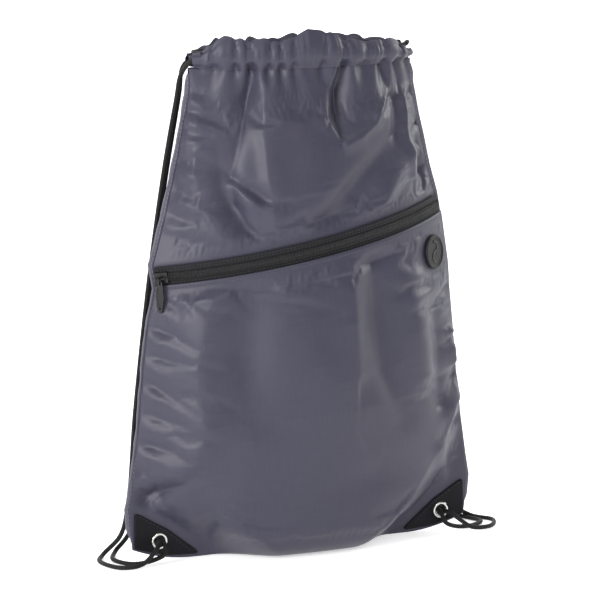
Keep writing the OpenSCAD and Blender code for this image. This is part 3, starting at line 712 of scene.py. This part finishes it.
def zip_near(z):
    """1 away from the zip, 0 within its tapes' height."""
    return smooth((np.abs(z - ZIP_Z) - 10.5) / 13)


def pocket_out(z):
    """How far the pocket's inner face lies outside the front's: closer at the foot."""
    return CLOTH_T + share(1.5 - CLOTH_T, POCKET_OUT - CLOTH_T, smooth((z - 40) / 80))


U = np.linspace(-1, 1, 231)


def settle(p, held, growth, flip=False, inward=3.0):
    """How a panel moves as it settles as cloth for 20 steps, on every second point of its grid:
    stuffing presses it from inside while it is sewn down where held is 1, and growth gives the slack
    that puckers. The movement is capped and spread over the whole grid."""
    rows, cols = np.arange(0, p.shape[0], 2), np.arange(0, p.shape[1], 2)
    rows, cols = np.unique(np.append(rows, p.shape[0] - 1)), np.unique(np.append(cols, p.shape[1] - 1))
    start = p[np.ix_(rows, cols)]
    faces = grid_faces(*start.shape[:2])
    obj = new_mesh("settling", start, faces[:, ::-1] if flip else faces)
    group = obj.vertex_groups.new(name="held")
    weights = held[np.ix_(rows, cols)].ravel()
    for level in np.linspace(0.1, 1, 10):
        group.add(np.flatnonzero(np.abs(weights - level) <= 0.05).tolist(), float(level), "REPLACE")
    cloth_mod = obj.modifiers.new("cloth", "CLOTH")
    c = cloth_mod.settings
    c.quality = 6
    c.mass = 0.12
    c.tension_stiffness = c.compression_stiffness = 12
    c.shear_stiffness = 4
    c.bending_stiffness = 0.12
    c.use_pressure = True
    c.uniform_pressure_force = 4
    c.shrink_min = -growth
    c.vertex_group_mass = "held"
    c.effector_weights.gravity = 0
    cloth_mod.collision_settings.use_collision = False
    cloth_mod.point_cache.frame_start, cloth_mod.point_cache.frame_end = 1, 20
    scene = bpy.context.scene
    for f in range(1, 21):
        scene.frame_set(f)
    done = obj.evaluated_get(bpy.context.evaluated_depsgraph_get()).to_mesh()
    co = np.zeros(len(done.vertices) * 3, np.float32)
    done.vertices.foreach_get("co", co)
    move = co.reshape(start.shape) / MM - start
    scene.frame_set(1)
    bpy.data.objects.remove(obj)
    n = normals_of(start) * (-1 if flip else 1)
    out = (move * n).sum(-1, keepdims=True)
    along = move - out * n
    along *= np.minimum(1, 3.0 / np.maximum(np.linalg.norm(along, axis=-1, keepdims=True), 1e-6))
    out = np.where(out > 0, 4 * np.tanh(out / 4), inward * np.tanh(out / inward))
    move = (along + out * n) * (1 - held[np.ix_(rows, cols)])[..., None]
    all_rows, all_cols = np.arange(p.shape[0]), np.arange(p.shape[1])
    wide = np.stack([[np.interp(all_cols, cols, row[:, k]) for k in range(3)] for row in move])
    full = np.stack([[np.interp(all_rows, rows, wide[:, k, j]) for j in all_cols] for k in range(3)])
    return full.transpose(2, 1, 0)


def sewn(z, x, band):
    """1 where a panel is sewn down: its side edges, its ends, the flat corners, and the zip's band."""
    edge = 1 - smooth((half_w(z) - np.abs(x) - 2) / 7)
    corner = 1 - smooth((off_corner(x, z) - 1.1) / 0.3)
    ends = np.maximum(1 - smooth((z - 8) / 14), smooth((z - HEM_Z + 42) / 42))
    zip_band = 1 - smooth((np.abs(z - ZIP_Z) - 11) / 7) if band else 0
    return np.maximum.reduce([edge, corner, ends, zip_band * np.ones(z.shape)])


def front_cloth():
    """The front panel: the design's surface plus the folds. Below the zip it follows the pocket's
    folds under it."""
    u, z = np.meshgrid(U, rows_between(CLOTH_T, HEM_Z + 1.5, 1.7, ZIP_Z - FLAT_Z, ZIP_Z, ZIP_Z + FLAT_Z))
    p = cloth(u, z, CLOTH_T, -1)
    x, h = p[..., 0], p[..., 2]
    low = z < ZIP_Z
    above = FRONT_FOLDS * front_folds(x, h) * smooth((HEM_Z + 1 - z) / HEM_FOLD) + gathers(x, h, PINCHES)
    d = np.where(low, POCKET_FOLDS * pocket_folds(x, h), above) * zip_near(z)
    d = d * np.where(z > GATHER_Z, by_mouth(x, z), calm(x, h))
    d = np.where(low, d * smooth((ZIP_Z - z) / 8), d * smooth((z - ZIP_Z) / 8))
    held = np.maximum(sewn(z, x, True), low)
    slack = settle(cloth(u, z, CLOTH_T + FIRST_FOLDS * d, -1), held, 0.022)
    return cloth(u, z, CLOTH_T + d, -1) + slack, cut(u, z)


def pocket_cloth():
    """The pocket panel, from the foot to its folded top edge under the lower tape."""
    top = ZIP_Z - POCKET_EDGE / np.cos(ZIP_TILT)
    u, z = np.meshgrid(U, rows_between(CLOTH_T, top, 1.7, ZIP_Z - FLAT_Z))
    p = cloth(u, z, CLOTH_T, -1)
    x, h = p[..., 0], p[..., 2]
    port = np.hypot(x - PORT_AT[0], h - PORT_AT[2])
    d = POCKET_FOLDS * pocket_folds(x, h) * zip_near(z) * calm(x, h) * smooth((port - 12) / 12)
    held = np.maximum(sewn(z, x, True), 1 - smooth((port - 15) / 8))
    out = CLOTH_T + pocket_out(z)
    slack = settle(cloth(u, z, out + FIRST_FOLDS * d, -1), held, 0.014, inward=1.2)
    return cloth(u, z, out + d, -1) + slack, cut(u, z)


def back_cloth():
    """The back panel: the design's surface plus its folds and gathers."""
    u, z = np.meshgrid(U, rows_between(CLOTH_T, HEM_Z + 1.5, 1.8))
    p = cloth(u, z, CLOTH_T, 1)
    x, h = p[..., 0], p[..., 2]
    d = back_folds(x, h) * smooth((HEM_Z + 1 - z) / HEM_FOLD) + gathers(x, h, BACK_PINCHES)
    d = d * np.where(z > GATHER_Z, by_mouth(x, z), calm(x, h))
    slack = settle(cloth(u, z, CLOTH_T + FIRST_FOLDS * d, 1), sewn(z, x, False), 0.022, flip=True)
    return cloth(u, z, CLOTH_T + d, 1) + slack, cut(u, z)


port_r = row_r(PORT_Z) + CLOTH_T
t0 = tilt(PORT_Z)
port_u = PORT_ANGLE / row_a(PORT_Z)
rise = cloth(port_u, PORT_Z + 12, 0, -1) - cloth(port_u, PORT_Z - 12, 0, -1)
out0 = np.array([np.sin(PORT_ANGLE) * np.cos(t0), -np.cos(PORT_ANGLE), np.sin(PORT_ANGLE) * np.sin(t0)])
up0 = np.array([-np.sin(t0), 0, np.cos(t0)])
lean = np.arctan2(-rise @ out0, rise @ up0)
PORT_AT = np.array([zip_shift(PORT_Z), row_r(PORT_Z) * np.cos(row_a(PORT_Z)) - LAY,
                    PORT_Z + zip_shift(PORT_Z) * np.tan(t0)]) + port_r * out0
PORT_N = np.cos(lean) * out0 + np.sin(lean) * up0
PORT_UP = np.cos(lean) * up0 - np.sin(lean) * out0
PORT_RIGHT = np.cross(PORT_UP, PORT_N) * -1

p, uv = front_cloth()
front = dress(sheet_mesh("front_cloth", p, uv), POLYESTER, replaces=["front_panel"])
p, uv = pocket_cloth()
pocket = dress(sheet_mesh("pocket_cloth", p, uv), POLYESTER, replaces=["pocket_panel"])
p, uv = back_cloth()
back = sheet_mesh("back_cloth", p, uv, flip=True)
dress(back, POLYESTER, replaces=["back_panel"])


# ---------------------------------------------------------------- gathered hem
# Height of the rim's dome between each two pinches, from left to right
TOPS = [404, 409, 417, 415, 414, 412, 413.5, 421, 417, 410, 409, 410, 404, 397]
BACK_TOPS = [402, 406, 412, 409, 411, 408, 412, 409, 411, 410, 407, 400]


def ruffle(x, pinches):
    """How far the tunnel bulges at x: between neighbouring pinches it is B (4 t (1 - t))^0.6, with
    B growing with their distance."""
    at = np.array([-97.0] + [q[0] for q in pinches] + [97.0])
    k = np.clip(np.searchsorted(at, x) - 1, 0, len(at) - 2)
    gap = at[k + 1] - at[k]
    t = np.clip((x - at[k]) / gap, 0, 1)
    return np.minimum(0.6 + 0.16 * gap, 3.6) * (4 * t * (1 - t)) ** 0.6


def tunnel_top(x, pinches, tops):
    """Height of the tunnel's rim at x: a dome over each stretch between pinches."""
    at = np.array([-97.0] + [q[0] for q in pinches] + [97.0])
    middles = (at[1:] + at[:-1]) / 2
    z = np.interp(x, middles, tops)
    for (place, deep, wide, _, _) in pinches:
        z = z - min(deep, 4.5) * 0.65 * np.exp(-((x - place) / (wide * 0.9)) ** 2)
    return z


def hem(side, pinches, tops):
    """The hem's tunnel: a loop of cloth round the cord, carried along the mouth's arc, drawn in at
    the pinches and swelling between them."""
    a = np.linspace(-1, 1, 420) * np.arcsin(92.5 / HEM_R)
    loop = np.linspace(-np.pi / 2, 1.5 * np.pi, 57)
    aa, turn = np.meshgrid(a, loop)
    x0 = HEM_R * np.sin(aa)
    sway = 2.6 * np.sin(x0 * 0.21 + 0.7) * np.sin(x0 * 0.057 + 1.0)
    high = (np.sin(turn) + 1) / 2
    place = x0 - sway * high
    top, swell = tunnel_top(place, pinches, tops), ruffle(place, pinches)
    fall = gathers(place, np.full(place.shape, HEM_Z + 2.0), pinches)
    pinch = sum(-q[1] * np.exp(-((place - q[0]) / (q[2] * 0.7)) ** 2) for q in pinches)
    small = sum((0.5 + 0.5 * np.sin(7.1 * k + side))
                * np.exp(-((place + 94 - 4.4 * k - 1.7 * np.sin(12.9 * k)) / 1.3) ** 2)
                * smooth(0.5 + 1.6 * np.sin(4.3 * k) * (high - 0.5)) for k in range(43))
    end = smooth((95 - np.abs(x0)) / 14)
    facing = np.cos(turn)
    outer = np.where(facing > 0, np.abs(facing) ** 0.75, -np.abs(facing) ** 0.9)
    belly = np.sin(np.pi * np.clip(high, 0, 1)) ** 0.7
    out = share(CLOTH_T + 0.9 + fall, 3.4, smooth(high * 2.2))
    thick = 2.3 + np.where(facing > 0, 0.7 * swell + 0.8 * pinch - 0.8 * small, 0.3 * swell + 0.4 * small)
    rounded = np.where(facing > 0, belly ** 1.2, belly ** 0.5)
    out = out + outer * np.maximum(thick, 0.3) * share(0.35, 1.0, end) * share(1.0, 0.62, high ** 2) * rounded
    over_cord = np.exp(-((high - 0.5) / 0.24) ** 4) * (facing > 0)
    out = np.where(out < 5.7, share(out, 5.7 - 0.2 * np.tanh(5.7 - out), over_cord), out)
    z = share(HEM_Z + 0.4, top, (np.sign(np.sin(turn)) * np.abs(np.sin(turn)) ** 0.85 + 1) / 2)
    z = share(share(394.5, 402.5, high), z, share(0.45, 1.0, end))
    r = HEM_R + out
    x = r * np.sin(aa) * share(1.0, 1.01, high)
    y = side * (LAY - HEM_Y + r * np.cos(aa))
    p = np.stack([x, y, z], -1)
    obj = new_mesh("hem_" + FACE[side], p, grid_faces(*p.shape[:2])[:, ::side],
                   np.stack([x0 * CUT_W / MOUTH_W, np.broadcast_to(loop[:, None] * 8, x0.shape)], -1))
    dress(thicken(obj), HEM_POLYESTER, replaces=[FACE[side] + "_hem"])
    return obj, p


front_hem, loop_points = hem(-1, PINCHES, TOPS)
back_hem, back_loop = hem(1, BACK_PINCHES, BACK_TOPS)


def hem_stitches(name, p, side):
    """The line of stitches that closes the tunnel, 2 mm above its foot on the outside."""
    row = p[3, 8:-8]
    n = np.stack([row[:, 0] / HEM_R, np.full(len(row), side * 1.0), np.zeros(len(row))], -1)
    n /= np.linalg.norm(n, axis=1, keepdims=True)
    return dress(stitches(name, row + n * 0.15, n, 2.2, 1.0, 0.3), DARK_THREAD)


hem_thread = hem_stitches("stitches_hem_front", loop_points, -1)
back_hem_thread = hem_stitches("stitches_hem_back", back_loop, 1)


# ---------------------------------------------------------------- bottom, seams
def bottom():
    """The foot between both panels: flat, a little higher where it turns up into them."""
    u, f = np.meshgrid(np.linspace(-1, 1, 161), np.linspace(-1, 1, 41))
    edge = cloth(u, np.full(u.shape, CLOTH_T), CLOTH_T, 1)
    y = edge[..., 1] * f
    waves = 0.5 * (1 + np.sin(u * 21 + f * 3)) * 0.25 * (1 - f ** 2)
    z = 0.15 + (edge[..., 2] - 0.15) * np.abs(f) ** 10 + waves
    z = z + (edge[..., 2] - CLOTH_T) * (1 - np.abs(f) ** 10)
    p = np.stack([edge[..., 0], y, z], -1)
    return dress(sheet_mesh("bottom_cloth", p, np.stack([u * CUT_W / 2, y], -1), flip=True), POLYESTER,
                 replaces=["bottom_fold"])


bottom_cloth = bottom()


def side_seam(side):
    """The seam's flange: a flat loop of folded cloth that follows the panels' edge, a little wavy."""
    z = np.linspace(7, HEM_Z - 3, 420)
    edge = cloth(np.full(z.shape, float(side)), z, 0, -1)
    taper = smooth((z - 5) / 16) * smooth((HEM_Z + 2 - z) / 14)
    wave = 0.5 * np.sin(z * 0.23 + side) * np.sin(z * 0.061 + 2 * side)
    loop = np.linspace(0, 2 * np.pi, 17)[:-1]
    c, s = np.cos(loop), np.sin(loop)
    across = np.sign(c) * np.abs(c) ** 0.5
    width = 2.6
    reach = width * (1 + across[None]) / 2 * 1.9 * share(0.3, 1, taper)[:, None]
    x = edge[:, :1] + side * (-0.5 + reach + 0.4 * wave[:, None])
    y = np.sign(s)[None] * np.abs(s)[None] ** 0.6 + wave[:, None] * (1 + across[None]) / 2
    p = np.stack([x, y, np.broadcast_to(edge[:, 2:], x.shape)], -1)
    faces = grid_faces(len(z), 16, wrap_cols=True)[:, ::-1]
    cap = np.arange(16)
    obj = new_mesh("seam_" + HAND[side], p, faces if side > 0 else faces[:, ::-1],
                   np.stack([np.broadcast_to(z[:, None], x.shape), np.broadcast_to(cap * 0.7, x.shape)], -1))
    # The flange's lighter cloth is a painted highlight along the seam.
    dress(obj, SEAM_POLYESTER_PAINTED_HIGHLIGHT, replaces=["side_seam_" + HAND[side]])
    for front in (-1, 1):
        line = np.stack([edge[:, 0] + side * 1.9, front * 1.02 + 0.3 * wave, edge[:, 2]], -1)
        n = np.tile([0.0, front, 0.0], (len(line), 1))
        dress(stitches(f"stitches_seam_{HAND[side]}_{FACE[front]}", line, n, 2.4, 1.1, 0.22), GREY_THREAD)


side_seam(-1)
side_seam(1)


# ---------------------------------------------------------------- zip
ZIP_AXIS = np.array([-np.sin(ZIP_TILT), 0, np.cos(ZIP_TILT)])
ZIP_C = np.array([ZIP_SIDE, row_r(ZIP_Z) * np.cos(row_a(ZIP_Z)) - LAY, ZIP_Z + ZIP_SIDE * np.tan(ZIP_TILT)])
ZIP_R = row_r(ZIP_Z) + CLOTH_T
ZIP_A = row_a(ZIP_Z)


def on_zip(a, out, up):
    """Point round the zip's axis at angle a, out mm outside the front cloth and up mm across the zip."""
    n = np.stack([np.sin(a) * np.cos(ZIP_TILT), -np.cos(a), np.sin(a) * np.sin(ZIP_TILT)], -1)
    return ZIP_C + (ZIP_R + out)[..., None] * n + up[..., None] * ZIP_AXIS, n


def tape(side):
    """One tape: a band with a flat section and slightly thicker edge, from beside the coil outwards."""
    a = np.linspace(-ZIP_A + 0.007, ZIP_A - 0.007, 300)
    sec = np.array([(0.75, 1.9), (0.75, 2.55), (2.2, 2.6), (4.6, 2.5), (7.2, 2.5), (8.0, 2.62), (8.35, 2.4),
                    (8.35, 1.95)])
    aa, k = np.meshgrid(a, np.arange(len(sec)), indexing="ij")
    p, _ = on_zip(aa, sec[k, 1], side * sec[k, 0])
    faces = grid_faces(len(a), len(sec), wrap_cols=True)
    obj = new_mesh("tape_" + ROW[side], p, faces[:, ::-1] if side > 0 else faces,
                   np.stack([aa * ZIP_R, sec[k, 0]], -1))
    return dress(obj, ZIP_TAPE, replaces=["zip_tape_" + ROW[side]])


def coil(side):
    """One coil row: an oval helix of nylon wire, a turn every 1.2 mm, whose turns reach past the
    middle of the zip between those of the other row."""
    turns = int(ZIP_R * 2 * (ZIP_A - COIL_END) / COIL_PITCH)
    t = np.linspace(0, turns * 2 * np.pi, turns * 14)
    a = -ZIP_A + COIL_END + t / (turns * 2 * np.pi) * 2 * (ZIP_A - COIL_END)
    a = a + (COIL_PITCH / 2 / ZIP_R if side > 0 else 0)
    up = side * (1.35 - 1.75 * np.cos(t))
    out = 3.1 + 0.62 * np.sin(t)
    line, _ = on_zip(a, out, up)
    obj = tube("coil_" + ROW[side], line, 0.36, 6)
    return dress(obj, ZIP_COIL, replaces=["zip_coil_" + ROW[side]])


tape(1)
tape(-1)
coil(1)
coil(-1)
a = np.linspace(-ZIP_A + COIL_END, ZIP_A - COIL_END, 400)
for name, up, out, thread in (("stitches_tape_upper", 6.9, 2.6, BLACK_THREAD),
                              ("stitches_coil_upper", 5.0, 2.62, BLACK_THREAD),
                              ("stitches_coil_lower", -5.0, 2.62, BLACK_THREAD),
                              ("stitches_pocket", -9.0, 5.75, DARK_THREAD)):
    line, n = on_zip(a, np.full(len(a), out), np.full(len(a), up))
    dress(stitches(name, line, n, 2.0, 1.0, 0.22), thread)


# ---------------------------------------------------------------- corners, eyelets, port
CORNER_W = float(half_w(EYELET_Z))
PATCH_BACK = LAY + CLOTH_T + GAP
PATCH_BASE = {-1: PATCH_BACK + CLOTH_T + GAP, 1: PATCH_BACK}


def patch(side, face):
    """A leathercloth corner: a five-sided piece with soft edges that is flat round its eyelet's hole
    and turned a little at its edges. Rings grow from the hole's circle to the outline."""
    w = CORNER_W
    outline = np.array([[w - PATCH_W, 3], [w - PATCH_W / 2, 4.4], [w - 0.8, EAR_LIFT], [w - 1.2, PATCH_H],
                        [w - PATCH_W / 2, PATCH_H / 2 + 5]])
    a = np.linspace(0, 2 * np.pi, 121)[:-1]
    centre = np.array([w - EYELET_IN, EYELET_Z])
    ray = np.stack([np.cos(a), np.sin(a)], -1)
    reach = np.full(len(a), 1e9)
    for p, q in zip(outline, np.roll(outline, -1, axis=0)):
        run = q - p
        across = ray[:, 0] * run[1] - ray[:, 1] * run[0]
        across = np.where(np.abs(across) < 1e-9, 1e-9, across)
        px, pz = p - centre
        t = (px * run[1] - pz * run[0]) / across
        s = (px * ray[:, 1] - pz * ray[:, 0]) / across
        reach = np.where((t > 0) & (s > -1e-6) & (s < 1 + 1e-6), np.minimum(reach, t), reach)
    reach = (np.roll(reach, 1) + 2 * reach + np.roll(reach, -1)) / 4
    f = np.concatenate([np.linspace(0, 0.93, 22), [0.97, 0.99, 1.0, 1.0, 0.99, 0.9]])
    rise = np.concatenate([np.full(22, 1.0), [0.95, 0.8, 0.5, 0.1, 0.0, 0.0]])
    rr, aa = np.meshgrid(f, np.arange(len(a)), indexing="ij")
    radius = EYELET_R + 0.9 + (reach[aa] - EYELET_R - 0.9) * rr
    x = centre[0] + radius * np.cos(a[aa])
    z = centre[1] + radius * np.sin(a[aa])
    base = PATCH_BASE[face]
    bend = 0.5 * np.sin(x * 0.16 + z * 0.11) * smooth((radius - 9) / 8)
    y = base + 0.05 + rise[:, None] * 0.95 + bend * 0.35 * rise[:, None]
    p = np.stack([side * x, face * y, z], -1)
    flip = side != face
    faces = grid_faces(len(f), len(a), wrap_cols=True)
    place = f"{FACE[face]}_{HAND[side]}"
    name = "corner_" + place
    obj = new_mesh(name, p, faces[:, ::-1] if flip else faces, p[..., [0, 2]])
    dress(obj, LEATHERCLOTH, replaces=["corner_patch_" + place])
    edge = curve_through([outline[3] + [-3.0, -3.0], outline[4] + [0.8, -2.4], outline[0] + [7.5, 1.7]], 1.0)
    line = np.stack([side * edge[:, 0], np.full(len(edge), face * (base + PATCH_T)), edge[:, 1]], -1)
    n = np.tile([0.0, float(face), 0.0], (len(line), 1))
    dress(stitches(name + "_stitches", line, n, 2.4, 1.1, 0.24), BLACK_THREAD)


def turned(name, profile, centre, axis, up, sides=72):
    """A surface of revolution: the profile's (radius, height) pairs turned round an axis."""
    axis = np.asarray(axis, float)
    up = np.asarray(up, float)
    third = np.cross(axis, up)
    a = np.arange(sides) * 2 * np.pi / sides
    profile = np.asarray(profile, float)
    ring = up[None] * np.cos(a)[:, None] + third[None] * np.sin(a)[:, None]
    p = np.asarray(centre, float) + profile[:, None, :1] * ring[None] + profile[:, None, 1:] * axis
    return new_mesh(name, p, grid_faces(len(profile), sides, wrap_cols=True, wrap_rows=True)[:, ::-1])


def eyelet(side):
    """A rolled brass eyelet on the front and its washer on the back."""
    at = [eyelet_x(side), 0, EYELET_Z]
    roll = np.radians(np.linspace(-25, 205, 15))
    front = PATCH_BASE[-1] + PATCH_T
    face = [(EYELET_R + 1.25 + 1.25 * np.cos(b), front + 0.35 + 0.75 * np.sin(b)) for b in roll]
    barrel = face + [(EYELET_R, front - 2), (EYELET_R, -PATCH_BACK - 1.8),
                     (EYELET_R + 0.7, -PATCH_BACK - 2.0), (EYELET_R + 0.7, front - 0.3)]
    name = HAND[side]
    obj = turned(f"eyelet_{name}_rolled", barrel, at, [0, -1, 0], [0, 0, 1])
    dress(obj, NICKEL, replaces=[f"eyelet_{name}"])
    back = PATCH_BACK + PATCH_T
    roll = np.radians(np.linspace(-10, 190, 13))
    ring = [(EYELET_R + 1.7 + 1.4 * np.cos(b), back + 0.1 + 0.55 * np.sin(b)) for b in roll]
    washer = turned(f"washer_{name}", ring + [(EYELET_R + 0.75, back)], at, [0, 1, 0], [0, 0, 1])
    dress(washer, NICKEL, replaces=[f"eyelet_washer_{name}"])


for side in (-1, 1):
    patch(side, -1)
    patch(side, 1)
    eyelet(side)


def port():
    """The rubber disc: a rounded rim, a sunk face and an S-shaped raised lip round the slit."""
    r = PORT_R
    rows = [(0.01, 1.2), (4, 1.2), (9, 1.2), (r - 2.6, 1.2), (r - 2.2, 1.35), (r - 1.9, 1.75),
            (r - 1.3, 1.95), (r - 0.7, 1.85), (r - 0.2, 1.4), (r, 0.8), (r, 0.0), (r - 1, -0.1), (0.01, -0.1)]
    centre = PORT_AT + PORT_N * (POCKET_OUT + 0.6)
    disc = turned("port_disc", rows, centre, PORT_N, PORT_UP, 96)
    dress(disc, RUBBER, replaces=["earphone_port_face"])
    k = r * 0.3
    a = np.radians(np.linspace(0, 180, 40))
    upper = np.stack([k * np.sin(a) * -1, k + k * np.cos(a)], -1)
    lower = np.stack([k * np.sin(a), -k + k * np.cos(a)], -1)
    s_line = np.vstack([upper, lower[1:]])
    t = np.gradient(s_line, axis=0)
    t /= np.linalg.norm(t, axis=1, keepdims=True)
    side = np.stack([-t[:, 1], t[:, 0]], -1)
    sec = np.radians(np.linspace(-20, 200, 12))
    for name, width, base, swell, mat in (("port_lip", 1.15, 1.1, 0.62, RUBBER),
                                          ("port_slit", 0.36, 1.62, 0.12, BLACK_THREAD)):
        q = s_line[:, None] + side[:, None] * (width * np.cos(sec))[None, :, None]
        h = np.broadcast_to(base + swell * np.sin(sec), q.shape[:2])[..., None]
        p = centre + q[..., :1] * PORT_RIGHT + q[..., 1:] * PORT_UP + h * PORT_N
        dress(new_mesh(name, p, grid_faces(*p.shape[:2], wrap_cols=True)), mat)
    a = np.linspace(0, 2 * np.pi, 200)
    spokes = np.cos(a)[:, None] * PORT_UP + np.sin(a)[:, None] * PORT_RIGHT
    ring = centre + (r - 3.4) * spokes + 1.22 * PORT_N
    dress(stitches("stitches_port", ring, np.tile(PORT_N, (len(a), 1)), 1.9, 0.9, 0.2), BLACK_THREAD)


port()


def cad_material(node, mat):
    """Gives a CAD piece that stays in sight its material, in the slots that it already has."""
    mesh = bpy.data.objects[node].data
    if not mesh.materials:
        mesh.materials.append(mat)
    for i in range(len(mesh.materials)):
        mesh.materials[i] = mat


for node in ("slider_body", "slider_bridge", "pull_link", "pull_tab"):
    cad_material(node, ENAMEL)
cad_material("earphone_port_backing", RUBBER)


# ---------------------------------------------------------------- floor and light
def light(name, at, size, power, colour="#ffffff"):
    """A square softbox that faces the middle of the bag."""
    data = bpy.data.lights.new(name, "AREA")
    data.energy = power
    data.size = size
    data.color = linear(colour)[:3]
    obj = bpy.data.objects.new(name, data)
    bpy.context.scene.collection.objects.link(obj)
    obj.location = at
    obj.rotation_euler = (Vector((0, 0, 0.2)) - Vector(at)).to_track_quat("-Z", "Y").to_euler()


light("softbox_left", (-2.0, -1.1, 0.9), 0.9, 44)
light("softbox_front", (-0.4, -2.4, 1.7), 1.2, 18)
light("softbox_right", (1.9, 0.1, 0.8), 0.7, 15)
light("softbox_top", (0.0, 0.3, 2.2), 1.6, 16)

ground = np.array([[-4000, -4000, -0.5], [4000, -4000, -0.5], [-4000, 4000, -0.5], [4000, 4000, -0.5]])
floor = new_mesh("floor", ground, [[0, 1, 3, 2]])
paper, _, _ = material("white_paper", "#f6f6f6", 0.8, Emission_Color=linear("#ffffff"), Emission_Strength=0.5)
floor.data.materials.append(paper)
upright = [[-9000, 3500, -10], [9000, 3500, -10], [-9000, 3500, 7000], [9000, 3500, 7000]]
screen = new_mesh("backdrop", upright, [[0, 1, 3, 2]])
lit, _, _ = material("lit_screen", "#ffffff", 0.9, Emission_Color=linear("#ffffff"), Emission_Strength=1.0)
screen.data.materials.append(lit)

world = bpy.data.worlds.new("studio")
bpy.context.scene.world = world
world.use_nodes = True
world.node_tree.nodes["Background"].inputs["Color"].default_value = (1, 1, 1, 1)
world.node_tree.nodes["Background"].inputs["Strength"].default_value = 0.45
bpy.context.scene.view_settings.view_transform = "Standard"
